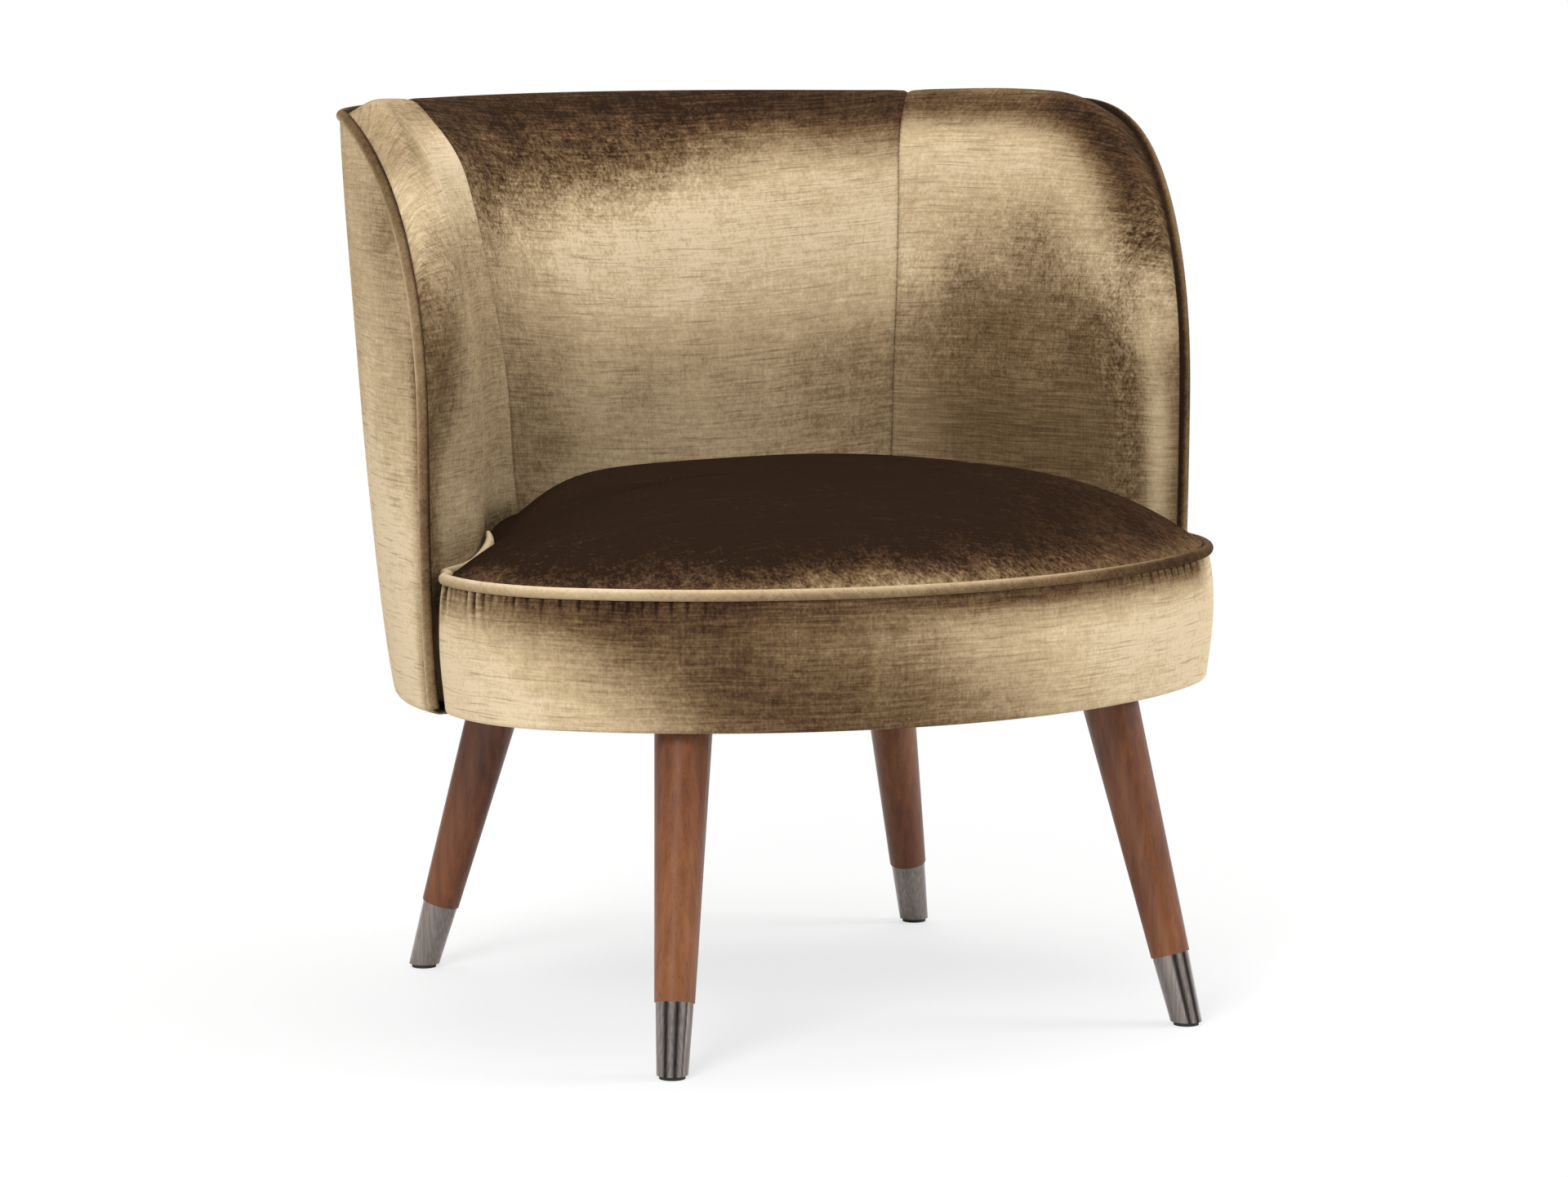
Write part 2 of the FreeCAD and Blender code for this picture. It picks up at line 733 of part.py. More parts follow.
def make_legs():
    """Four turned legs with ferrules and glides, and what bolts them on."""
    bolts, nuts = [], []
    for place, foot, lean in leg_sets:
        leg, ferrule, glide, bolt, nut = leg_pieces(foot, lean)
        for side, turn in (("left", lambda s: s), ("right", mirrored)):
            add(place + "_" + side + "_leg", turn(leg))
            add(place + "_" + side + "_ferrule", turn(ferrule))
            add(place + "_" + side + "_glide", turn(glide))
            bolts.append(turn(bolt))
            nuts.append(turn(nut))
    add("hanger_bolts", Part.makeCompound(bolts))
    add("leg_t_nuts", Part.makeCompound(nuts))


def block_half_turn(radius, unit):
    """Half the width of a leg block, as an angle or a run at a radius."""
    return leg_block_width / 2 / radius * unit


front_block_half = block_half_turn(front_arc_radius - ring_front_inset, math.degrees(1))
back_leg_place = leg_line(back_foot, back_lean, frame_bottom)
back_block_radius = math.hypot(back_leg_place.x, back_leg_place.y - tub_axis_y)
back_block_half = block_half_turn(back_block_radius, tub_unroll_radius)


def frame_bolt(angle, diameter, first, last):
    """A round bar along a line through the bottom rail and the seat ring."""
    along = math.radians(angle - wing_edge_angle) * tub_unroll_radius
    z = frame_bottom + bottom_rail_height / 2
    start, end = tub_point(along, z, first), tub_point(along, z, last)
    run = end - start
    return Part.makeCylinder(diameter / 2, run.Length, start, run)


def bolted(shape):
    """The shape with room for the bolts that join the back to the seat ring."""
    room = 2 * bolt_hole_room
    end = bolt_head_inset + frame_bolt_length + fit_gap
    head_end = bolt_head_inset + frame_bolt_head_height
    for angle in frame_bolt_angles:
        hole = frame_bolt(angle, frame_bolt_diameter + room, lining_inset, end)
        head = frame_bolt(angle, frame_bolt_head + room, lining_inset, head_end)
        for cut in (hole, head, mirrored(hole), mirrored(head)):
            shape = shape.cut(cut)
    return shape


def front_turns(first, last, steps, ear_steps):
    """Turns along the front with one of them where the long curve meets the ear."""
    return spread(first, ear_turn_angle, steps) + spread(ear_turn_angle, last, ear_steps)[1:]


def corner_rail_edge(first_turn, inset):
    """One edge of a corner rail: round the ear, past the wing and along inside the side rail."""
    turns = front_turns(first_turn, ear_rail_angle, 3, 5)
    points = [front_point(t, ring_front_inset + inset) for t in turns]
    points.append(front_point(ear_bend_angle, ring_front_inset + rail_thickness / 2 + inset))
    points += notch_points(frame_bottom, notch_room + inset, rail_pass_start, rail_lap_start, 5)
    lap = ring_inset + rail_thickness + 3 * fit_gap + inset
    points += [tub_point(a, frame_bottom, lap) for a in spread(rail_lap_start, rail_lap_end, 5)[1:]]
    return [at_height(p, 0) for p in points]


def make_seat_ring():
    """Rails and leg blocks of the seat frame, and the bolts to the back."""
    gap = math.degrees(fit_gap / front_arc_radius)
    inner_turn = front_leg_turn - front_block_half - gap
    outer_turn = front_leg_turn + front_block_half + gap
    add("seat_front_rail", front_rail(-inner_turn, inner_turn, rail_thickness, seat_rail_top))
    drill = leg_drill(front_foot, front_lean)
    block = front_rail(inner_turn + gap, outer_turn - gap, leg_block_depth, leg_block_top).cut(drill)
    add("front_left_leg_block", block)
    add("front_right_leg_block", mirrored(block))
    outer = corner_rail_edge(outer_turn, 0)
    corner = rail(outer, corner_rail_edge(outer_turn, rail_thickness), frame_bottom, seat_rail_top)
    add("left_corner_rail", corner)
    add("right_corner_rail", mirrored(corner))
    before, after = back_leg_along - back_block_half, back_leg_along + back_block_half
    side = bolted(tub_rail(side_rail_start, before - fit_gap, rail_thickness, seat_rail_top))
    add("left_side_rail", side)
    add("right_side_rail", mirrored(side))
    drill = leg_drill(back_foot, back_lean)
    block = tub_rail(before, after, leg_block_depth, leg_block_top).cut(drill)
    add("back_left_leg_block", block)
    add("back_right_leg_block", mirrored(block))
    last = 2 * half_tub - after - fit_gap
    add("seat_back_rail", bolted(tub_rail(after + fit_gap, last, rail_thickness, seat_rail_top)))
    parts["back_bottom_rail"] = bolted(parts["back_bottom_rail"])
    bolts = []
    start, end = bolt_head_inset, bolt_head_inset + frame_bolt_length
    head_end = bolt_head_inset + frame_bolt_head_height
    for angle in frame_bolt_angles:
        shank = frame_bolt(angle, frame_bolt_diameter, start, end)
        head = frame_bolt(angle, frame_bolt_head, start, head_end)
        bolt = shank.fuse(head).removeSplitter()
        bolts.append(bolt)
        if angle < 90:
            bolts.append(mirrored(bolt))
    add("frame_bolts", Part.makeCompound(bolts))


def ring_outline():
    """Outer edge of the seat ring, from the middle of the front to the middle of the back."""
    row = [front_point(t, ring_front_inset) for t in spread(0, ear_rail_angle, 30)]
    row += notch_points(frame_bottom, notch_room, rail_pass_start, rail_lap_start, 9)
    row += [tub_point(a, frame_bottom, ring_inset) for a in spread(rail_lap_start, half_tub, 40)[1:]]
    return [(p.x, p.y) for p in row]


def crossing(points, value, key):
    """Where a run of points passes a value of x (key 0) or y (key 1), the other coordinate."""
    found = []
    for a, b in zip(points, points[1:]):
        low, high = min(a[key], b[key]), max(a[key], b[key])
        if low <= value <= high and high > low:
            share = (value - a[key]) / (b[key] - a[key])
            found.append(a[1 - key] + share * (b[1 - key] - a[1 - key]))
    return found


def make_webbing():
    """Elastic straps across the seat ring and from front to back."""
    outline = ring_outline()
    half = web_width / 2
    lay = seat_rail_top + fit_gap
    straps = []
    first, last = seat_front_y + first_web_room, tub_axis_y + tub_half_depth - last_web_room
    for y in spread(first, last, cross_web_count):
        ends = crossing(outline, y - half, 1) + crossing(outline, y + half, 1)
        ends += [place[0] for place in outline if abs(place[1] - y) < half]
        reach = min(end for end in ends if end > ear_arc_radius) - web_lap
        straps.append(Part.makeBox(2 * reach, web_width, web_thickness, V(-reach, y - half, lay)))
    add("cross_webbing", Part.makeCompound(straps))
    lay += web_thickness + fit_gap / 2
    straps = []
    side = (tub_half_width - long_web_room) / 2
    for x in spread(-side, side, long_web_count):
        ends = crossing(outline, abs(x) + half, 0)
        front, back = min(ends) + web_lap, max(ends) - web_lap
        straps.append(Part.makeBox(web_width, back - front, web_thickness, V(x - half, front, lay)))
    add("lengthwise_webbing", Part.makeCompound(straps))


def front_y(x, inset):
    """The front outline's y at a place x."""
    if x <= (front_arc_radius - inset) * math.sin(math.radians(ear_turn_angle)):
        return front_arc_centre_y - math.sqrt((front_arc_radius - inset) ** 2 - x * x)
    return ear_centre_y - math.sqrt((ear_arc_radius - inset) ** 2 - (x - ear_centre_x) ** 2)


def back_line(z, clearance):
    """The seat's back and side edge against the inner face of the tub at a height."""
    row = notch_points(z, clearance, fit_gap, half_tub + fit_gap, 60)
    return [(p.x, p.y) for p in row]


def seat_back_y(x, z, inset, clearance):
    """Where a slice of the seat ends: at the tub's inner face or at the rounded ear corner."""
    end = crossing(back_line(z, clearance), x, 0)[0]
    corner = ear_point(90, ear_corner_radius)
    radius = ear_corner_radius - inset
    if x < corner.x:
        return end
    return min(end, corner.y + math.sqrt(max(radius * radius - (x - corner.x) ** 2, 0)))


def border_distance(x, y):
    """How far a plan point lies inside the outline, with the sides carried straight back."""
    from_front = math.degrees(math.atan2(x, front_arc_centre_y - y))
    inside_front = front_arc_radius - math.hypot(x, y - front_arc_centre_y)
    if y > ear_centre_y:
        return min(inside_front, ear_centre_x + ear_arc_radius - x)
    if from_front <= ear_turn_angle:
        return inside_front
    return ear_arc_radius - math.hypot(x - ear_centre_x, y - ear_centre_y)


def seat_top(x, y, end):
    """Height of the crowned seat: it swells up from the piping and dips where it meets the back."""
    near = 1 - min(border_distance(x, y) / crown_reach, 1)
    back = 1 - min((end - y) / back_dip_reach, 1)
    rise = (seat_crown_height - seat_piping_height) * (1 - near ** crown_power)
    return seat_piping_height + rise - back_dip * back * back


def crown_line(x, inset, clearance, offset):
    """The crown over one slice of the seat, from front to back."""
    start = front_y(x, inset)
    end = seat_back_y(x, seat_piping_height, inset, clearance)
    points = []
    for share in crown_shares:
        y = start + share * (end - start)
        points.append(V(x, y, seat_top(x, y, end) - offset))
    return points


def slices(last):
    """Places across the seat, closer together towards the ears."""
    tip = front_point(90, 0).x
    half = [tip * math.sin(math.radians(90) * share) for share in slice_shares]
    half = [x for x in half if x < last - fit_gap] + [last]
    return [-x for x in reversed(half)] + [0] + half


def mirrored_points(points, x):
    """The same points carried to the side of x."""
    return [V(math.copysign(p.x, x), p.y, p.z) for p in points]


def make_seat_cushion():
    """The foam seat and its top cover."""
    wires = []
    reach = front_point(90, ring_front_inset).x - fit_gap * 4
    for x in slices(reach):
        top = crown_line(abs(x), ring_front_inset, foam_clear, foam_offset)
        edges = arc_chain(mirrored_points(top, x))
        low_back = seat_back_y(abs(x), seat_deck, ring_front_inset, foam_clear)
        corners = [V(x, top[-1].y, top[-1].z), V(x, low_back, seat_deck), V(x, top[0].y, seat_deck)]
        corners.append(V(x, top[0].y, top[0].z))
        edges += [Part.LineSegment(a, b).toShape() for a, b in zip(corners, corners[1:])]
        wires.append(Part.Wire(edges))
    add("seat_foam", loft(wires, True))
    wires = []
    reach = front_point(90, piping_clear).x - cover_thickness
    for x in slices(reach):
        top = mirrored_points(crown_line(abs(x), piping_clear, fit_gap, 0), x)
        under = mirrored_points(crown_line(abs(x), piping_clear, fit_gap, cover_thickness), x)
        wires.append(closed_wire(top, list(reversed(under))))
    add("seat_top_cover", loft(wires, True))


def apron_section(turn, offset, hem):
    """The apron's outer line from under the piping to the hem, in one upright plane."""
    top = seat_piping_height - piping_clear
    floor = apron_bottom + hem_roundness
    swell = apron_bulge if turn <= 90 else apron_bulge * (1 - (turn - 90) / bulge_fade_angle)
    points = []
    for share in apron_shares:
        z = top - share * (top - floor)
        out = swell * math.sin(math.pi * share)
        points.append(at_height(outline_point(turn, offset - out), z))
    if hem:
        low = apron_bottom + hem_rise + offset
        points.append(at_height(outline_point(turn, hem_turn + offset), low))
        points.append(at_height(outline_point(turn, hem_width), low))
    return points


def across_sections(build, turns):
    """Sections for the left half, then their mirror images, as one run."""
    half = [build(turn) for turn in turns]
    return [[V(-p.x, p.y, p.z) for p in row] for row in reversed(half[1:])] + half


def make_apron():
    """Front board, wadding, apron cover and seat piping."""
    turns = front_turns(0, board_end_angle, 3, 5)
    outer = across([front_point(t, board_inset) for t in turns])
    inner = across([front_point(t, board_inset + board_thickness) for t in turns])
    add("seat_front_board", rail(outer, inner, hem_level, seat_piping_height - board_drop))
    low, high = apron_bottom + hem_roundness, seat_piping_height - piping_clear
    turns = front_turns(0, board_end_angle, 11, 9)
    fronts = across_sections(lambda t: apron_section(t, foam_offset, False), turns)
    backs = across_sections(lambda t: [at_height(front_point(t, board_inset - fit_gap), z)
                                       for z in spread(low, high, 3)], turns)
    wires = [closed_wire(front, back) for front, back in zip(fronts, backs)]
    add("seat_front_wadding", loft(wires, True))
    turns = front_turns(0, 90, 11, 9) + list(corner_angles)
    fronts = across_sections(lambda t: apron_section(t, 0, True), turns)
    backs = across_sections(lambda t: apron_section(t, cover_thickness, True), turns)
    wires = [closed_wire(front, list(reversed(back))) for front, back in zip(fronts, backs)]
    add("seat_front_cover", loft(wires, True))
    half = [outline_point(t, 0) for t in turns]
    half += notch_points(seat_piping_height, piping_clear + fit_gap, notch_start, notch_end, 17)
    points = [at_height(p, seat_piping_height) for p in across(half)]
    add("seat_piping", tube(points, [V(0, 0, 1)] * len(points), piping_diameter, True))


def make_dust_cover():
    """The black cloth under the seat, with holes for the legs."""
    half = [front_point(t, dust_cover_inset) for t in front_turns(0, 90, 5, 5)]
    half += [at_height(tub_point(a, apron_bottom, dust_cover_inset), 0) for a in
             spread(dust_cover_start, half_tub, 8)]
    loop = across(half)
    loop = loop[:-1]
    edges = arc_chain(loop + [loop[0]])
    cover = Part.Face(Part.Wire(edges))
    cover.translate(V(0, 0, apron_bottom - dust_cover_thickness))
    cover = cover.extrude(V(0, 0, dust_cover_thickness))
    room = leg_top_diameter + 2 * fit_gap
    for place, foot, lean in leg_sets:
        hole = axis_cone(foot, lean, 0, seat_deck, room, room)
        cover = cover.cut(hole).cut(mirrored(hole))
    add("dust_cover", cover)


make_legs()
make_back_frame()
make_seat_ring()
make_webbing()
make_back_upholstery()
make_seat_cushion()
make_apron()
make_dust_cover()

os.makedirs("parts", exist_ok=True)
for name, shape in parts.items():
    if not shape.isValid():
        print("not valid:", name)
    shape.exportStep("parts/" + name + ".step")
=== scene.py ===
import json
import math

import bpy
import numpy as np
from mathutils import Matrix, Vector


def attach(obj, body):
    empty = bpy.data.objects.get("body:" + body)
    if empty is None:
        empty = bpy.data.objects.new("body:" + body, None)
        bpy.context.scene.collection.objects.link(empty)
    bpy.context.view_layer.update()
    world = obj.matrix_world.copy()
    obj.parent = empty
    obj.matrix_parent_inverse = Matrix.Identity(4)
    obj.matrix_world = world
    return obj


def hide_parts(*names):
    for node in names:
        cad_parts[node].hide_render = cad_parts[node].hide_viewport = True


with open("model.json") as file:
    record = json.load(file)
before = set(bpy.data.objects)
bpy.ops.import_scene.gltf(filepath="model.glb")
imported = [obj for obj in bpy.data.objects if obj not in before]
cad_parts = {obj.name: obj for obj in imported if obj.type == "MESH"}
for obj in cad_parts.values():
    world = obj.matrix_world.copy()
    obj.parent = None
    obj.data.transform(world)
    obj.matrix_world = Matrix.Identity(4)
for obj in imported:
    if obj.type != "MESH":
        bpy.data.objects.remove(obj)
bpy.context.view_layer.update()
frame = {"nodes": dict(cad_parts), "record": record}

# Legs: four turned and tapered beech legs, stained a reddish walnut and lacquered to a satin
# gloss. The grain runs down each leg, with the short dark flecks of beech.
STAIN_DARK, STAIN_MID, STAIN_PALE = (0.074, 0.019, 0.005), (0.152, 0.047, 0.013), (0.23, 0.082, 0.025)
FLECK_BROWN = (0.045, 0.013, 0.007, 1.0)
CORNERS = [end + "_" + side for end in ("front", "back") for side in ("left", "right")]


class Wiring:
    """Adds shader nodes to one new material and joins them."""

    def __init__(self, name):
        self.material = bpy.data.materials.new(name)
        self.material.use_nodes = True
        self.tree = self.material.node_tree
        self.shader = self.tree.nodes["Principled BSDF"]

    def put(self, socket, value):
        """Links an output to a socket, or sets the socket to a number, colour or vector."""
        if isinstance(value, bpy.types.NodeSocket):
            self.tree.links.new(value, socket)
        else:
            socket.default_value = value

    def add(self, kind, inputs=(), **settings):
        """A node of a kind, its settings and its inputs, by name or number."""
        node = self.tree.nodes.new("ShaderNode" + kind)
        for key, value in settings.items():
            setattr(node, key, value)
        for key, value in dict(inputs).items():
            self.put(node.inputs[key], value)
        return node

    def calc(self, operation, first, second=0.0, third=0.0):
        """One sum on numbers."""
        node = self.add("Math", {0: first, 1: second, 2: third}, operation=operation)
        return node.outputs[0]

    def noise(self, coords, scale, detail=2.0, roughness=0.5, seed=0.0):
        """Noise from 0 to 1 whose grain is 1 / scale along each direction."""
        place = self.add("Mapping", {"Vector": coords, "Scale": scale,
                                     "Location": (seed, seed * 1.7, seed * 0.6)})
        node = self.add("TexNoise", {"Vector": place.outputs[0], "Scale": 1.0, "Detail": detail,
                                     "Roughness": roughness})
        return node.outputs["Fac"]

    def sway(self, value, amount, total):
        """total + amount * (value - 0.5)."""
        return self.calc("MULTIPLY_ADD", self.calc("SUBTRACT", value, 0.5), amount, total)

    def between(self, value, low, high):
        """0 below low, 1 above high, and a straight line between."""
        node = self.add("MapRange", {"Value": value, "From Min": low, "From Max": high})
        return node.outputs[0]

    def ramp(self, value, stops):
        """A colour ramp through (place, colour) stops."""
        node = self.add("ValToRGB", {"Fac": value})
        ramp = node.color_ramp
        while len(ramp.elements) < len(stops):
            ramp.elements.new(1.0)
        for element, (place, colour) in zip(ramp.elements, stops):
            element.position = place
            element.color = (*colour, 1.0)
        return node.outputs["Color"]

    def blend(self, factor, first, second):
        """Two colours mixed."""
        node = self.add("Mix", data_type="RGBA")
        self.put(node.inputs["Factor"], factor)
        self.put(node.inputs[6], first)
        self.put(node.inputs[7], second)
        return node.outputs[2]

    def bump(self, height, distance, strength=1.0):
        """Sets the shader's normal from a height."""
        node = self.add("Bump", {"Height": height, "Distance": distance, "Strength": strength})
        self.put(self.shader.inputs["Normal"], node.outputs[0])

    def set(self, **values):
        """Sets or links the shader's own sockets."""
        for key, value in values.items():
            self.put(self.shader.inputs[key.replace("_", " ")], value)


def paint(nodes, material):
    """Gives CAD nodes a material."""
    for name in nodes:
        mesh = frame["nodes"][name].data
        mesh.materials.clear()
        mesh.materials.append(material)


wood = Wiring("stained_beech")
spot = wood.add("TexCoord").outputs["Object"]
grain = wood.noise(spot, (170.0, 170.0, 9.0), 4.0, 0.6)
fleck = wood.noise(spot, (900.0, 900.0, 90.0), 1.0, 0.5, 3.0)
cloudy = wood.noise(spot, (14.0, 14.0, 6.0), 2.0, 0.5, 8.0)
stain = wood.ramp(wood.calc("MULTIPLY_ADD", grain, 0.55, wood.calc("MULTIPLY", cloudy, 0.45)),
                  [(0.3, STAIN_DARK), (0.5, STAIN_MID), (0.7, STAIN_PALE)])
stain = wood.blend(wood.calc("MULTIPLY", wood.between(fleck, 0.60, 0.70), 0.4), stain, FLECK_BROWN)
wood.set(Base_Color=stain, Roughness=0.5, Specular_IOR_Level=0.3, Coat_Weight=0.3,
         Coat_Roughness=0.08)
wood.bump(grain, 0.0003, 0.4)
paint([corner + "_leg" for corner in CORNERS], wood.material)

# Ferrules and glides: drawn steel caps with a polished dark nickel finish, pushed over the legs'
# ends, and black moulded glides tapped in under them.
NICKEL_DARK, NICKEL_PALE = (0.20, 0.170, 0.155), (0.29, 0.255, 0.235)
BLACK, GREY_BLACK = (0.012, 0.012, 0.012), (0.03, 0.03, 0.03)

nickel = Wiring("dark_nickel")
spot = nickel.add("TexCoord").outputs["Object"]
drawn = nickel.noise(spot, (700.0, 700.0, 6.0), 2.0, 0.5)
cloudy = nickel.noise(spot, (30.0, 30.0, 20.0), 2.0, 0.5, 2.0)
nickel.set(Base_Color=nickel.ramp(drawn, [(0.35, NICKEL_DARK), (0.65, NICKEL_PALE)]),
           Metallic=1.0, Roughness=nickel.calc("MULTIPLY_ADD", cloudy, 0.08, 0.04))
nickel.bump(drawn, 0.0001, 0.15)
paint([corner + "_ferrule" for corner in CORNERS], nickel.material)

moulded = Wiring("black_glide")
spot = moulded.add("TexCoord").outputs["Object"]
grit = moulded.noise(spot, (1500.0, 1500.0, 1500.0), 2.0)
moulded.set(Base_Color=moulded.ramp(grit, [(0.3, BLACK), (0.7, GREY_BLACK)]), Roughness=0.6)
moulded.bump(grit, 0.0001, 0.3)
paint([corner + "_glide" for corner in CORNERS], moulded.material)

# Inside of the chair: sawn frame timber, fibreboard linings, zinc plated hardware, elastic
# webbing, jute hessian, foam and wadding. The covers hide all of it.
for slot, metal, dark, pale, scale in (
        ("frame_timber", 0.0, (0.45, 0.29, 0.15), (0.68, 0.50, 0.31), (60.0, 60.0, 6.0)),
        ("lining_board", 0.0, (0.30, 0.21, 0.13), (0.46, 0.35, 0.23), (900.0, 900.0, 900.0)),
        ("zinc_steel", 1.0, (0.45, 0.45, 0.43), (0.68, 0.68, 0.66), (500.0, 500.0, 500.0)),
        ("web_strap", 0.0, (0.03, 0.03, 0.03), (0.16, 0.15, 0.14), (350.0, 350.0, 900.0)),
        ("hessian_cloth", 0.0, (0.30, 0.21, 0.11), (0.58, 0.44, 0.27), (600.0, 600.0, 600.0)),
        ("foam", 0.0, (0.70, 0.64, 0.45), (0.90, 0.85, 0.68), (1200.0, 1200.0, 1200.0)),
        ("wadding", 0.0, (0.80, 0.79, 0.76), (0.93, 0.92, 0.90), (300.0, 300.0, 300.0))):
    hidden = Wiring("inside_" + slot)
    spot = hidden.add("TexCoord").outputs["Object"]
    mottle = hidden.noise(spot, scale, 3.0, 0.55)
    hidden.set(Base_Color=hidden.ramp(mottle, [(0.35, dark), (0.65, pale)]),
               Roughness=0.85 - 0.5 * metal, Metallic=metal)
    hidden.bump(mottle, 0.0005, 0.5)
    paint([part["node"] for part in frame["record"]["subparts"] if part["material_slot"] == slot],
          hidden.material)

# Outer back cover: one length of crushed pile cloth pulled smooth over the lining boards, seamed
# into the piping at its edge and turned under the frame at the hem. Its slub threads run level.
# Colours of the cloth along its ramp, from its darkest painted shade to its palest painted sheen.
NAP_AND_LIGHT_STOPS = [(0.0, (0.021, 0.0118, 0.0072)), (0.094, (0.050, 0.0268, 0.0145)),
              (0.178, (0.083, 0.046, 0.0238)), (0.287, (0.138, 0.088, 0.043)),
              (0.414, (0.223, 0.152, 0.083)), (0.579, (0.366, 0.269, 0.157)),
              (0.747, (0.490, 0.374, 0.224)), (0.9, (0.635, 0.506, 0.338))]
SLUB_BROWN, STITCH_BROWN = (0.075, 0.043, 0.020, 1.0), (0.030, 0.016, 0.008, 1.0)
SHEEN_GOLD = (1.0, 0.86, 0.62, 1.0)
STITCHES_PER_METRE = 210.0

# The tub's form, in millimetres. "along" runs round the outside from the front edge of the
# sitter's left wing, as if the wall were unrolled.
HEM, EDGE, CORNER_FOOT, CORNER, CORNER_POWER = 257.0, 712.0, 474.0, 176.0, 2.16
AXIS_Y, UNROLL, WING_ANGLE, SEAM_ANGLE = -41.25, 345.0, -8.4, 43.0
HALF_WIDTH, HALF_DEPTH, SIDE_TAPER, BACK_TAPER = 357.0, 363.0, 37.9, 95.0
CURL, CURL_FOOT, CURL_REACH = 0.076, 459.0, 117.0
CLOTH, TURN_IN, RETURN = 1.4, 6.0, 16.0
MIDDLE = math.radians(90 - WING_ANGLE) * UNROLL
SEAM = math.radians(SEAM_ANGLE - WING_ANGLE) * UNROLL
FAR_SEAM = 2 * MIDDLE - SEAM


def pile_cloth(name, seed, threads=1.0, sheen=0.04):
    """Crushed slub velvet. Its colour is a ramp on the piece's own value of how its nap lies, with painted
    light: from 0 away from the eye and dark to 1 towards it and pale, which paints the sheen, highlights
    and shade of the cloth as seen from the front, mixed with crushed patches. On that go patches, clumps
    and specks of crushed nap times its "crush" value, plus warp and weft threads. Thin dark slubs lie over
    that, and sewn stitches where its "seam" value is not 0."""
    cloth = Wiring(name)
    spot = cloth.add("UVMap", uv_map="cloth").outputs[0]
    nap_and_light, crush, seam = [cloth.add("Attribute", attribute_name=key).outputs["Fac"]
                         for key in ("nap_and_light", "crush", "seam")]
    slow = cloth.noise(spot, (11.0, 7.0, 1.0), 2.0, 0.5, seed + 7.0)
    shift = cloth.add("CombineXYZ", {"Y": cloth.sway(slow, 0.006, 0.0)}).outputs[0]
    woven = cloth.add("VectorMath", {0: spot, 1: shift}, operation="ADD").outputs[0]
    nap_and_light_sum = nap_and_light
    for grains, roughness, amount in (((20.0, 15.0, 1.0), 0.55, 0.35),
                                      ((105.0, 100.0, 1.0), 0.60, 0.36),
                                      ((430.0, 330.0, 1.0), 0.65, 0.68)):
        seed += 1.0
        fleck = cloth.noise(spot, grains, 3.0, roughness, seed)
        nap_and_light_sum = cloth.sway(fleck, cloth.calc("MULTIPLY", crush, amount), nap_and_light_sum)
    warp = cloth.noise(woven, (650.0, 13.0, 1.0), 2.0, 0.5, seed + 1.0)
    weft = cloth.noise(woven, (30.0, 620.0, 1.0), 2.0, 0.5, seed + 2.0)
    nap_and_light_sum = cloth.sway(warp, 0.13 * threads, cloth.sway(weft, 0.38 * threads, nap_and_light_sum))
    colour = cloth.ramp(cloth.calc("MULTIPLY", nap_and_light_sum, NAP_AND_LIGHT_STOPS[-1][0]), NAP_AND_LIGHT_STOPS)
    slub = cloth.noise(woven, (20.0, 600.0, 1.0), 1.0, 0.5, seed + 3.0)
    slub = cloth.calc("MULTIPLY", cloth.between(slub, 0.61, 0.72), 0.34 * threads)
    colour = cloth.blend(slub, colour, SLUB_BROWN)
    across = cloth.add("SeparateXYZ", {0: spot}).outputs[1]
    stitch = cloth.calc("PINGPONG", cloth.calc("MULTIPLY", across, STITCHES_PER_METRE), 0.5)
    stitch = cloth.calc("MULTIPLY_ADD", cloth.between(stitch, 0.12, 0.22), 0.45, 0.55)
    colour = cloth.blend(cloth.calc("MULTIPLY", seam, stitch), colour, STITCH_BROWN)
    cloth.set(Base_Color=colour, Roughness=0.75, Specular_IOR_Level=0.0, Sheen_Weight=sheen,
              Sheen_Roughness=0.4, Sheen_Tint=SHEEN_GOLD)
    cloth.bump(cloth.calc("MULTIPLY_ADD", weft, 0.7, cloth.calc("MULTIPLY", fleck, 0.4)), 0.0006, 0.5)
    return cloth.material


def make_piece(name, verts, faces, uv, marks, material):
    """A mesh object from vertices in millimetres, quads, a UV per face corner in metres of cloth,
    and per vertex the cloth's values: how its nap lies, with painted light and shade, its crush and its
    seam."""
    mesh = bpy.data.meshes.new(name)
    mesh.from_pydata((verts / 1000).tolist(), [], faces.tolist())
    layer = mesh.uv_layers.new(name="cloth")
    layer.data.foreach_set("uv", uv.reshape(-1).astype(np.float32))
    for key, usual in (("nap_and_light", 0.5), ("crush", 1.0), ("seam", 0.0)):
        values = np.broadcast_to(marks.get(key, usual), len(verts)).astype(np.float32)
        mesh.attributes.new(key, "FLOAT", "POINT").data.foreach_set("value", values)
    mesh.polygons.foreach_set("use_smooth", np.ones(len(faces), bool))
    mesh.materials.append(material)
    mesh.update()
    piece = bpy.data.objects.new(name, mesh)
    bpy.context.scene.collection.objects.link(piece)
    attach(piece, "root")
    return piece


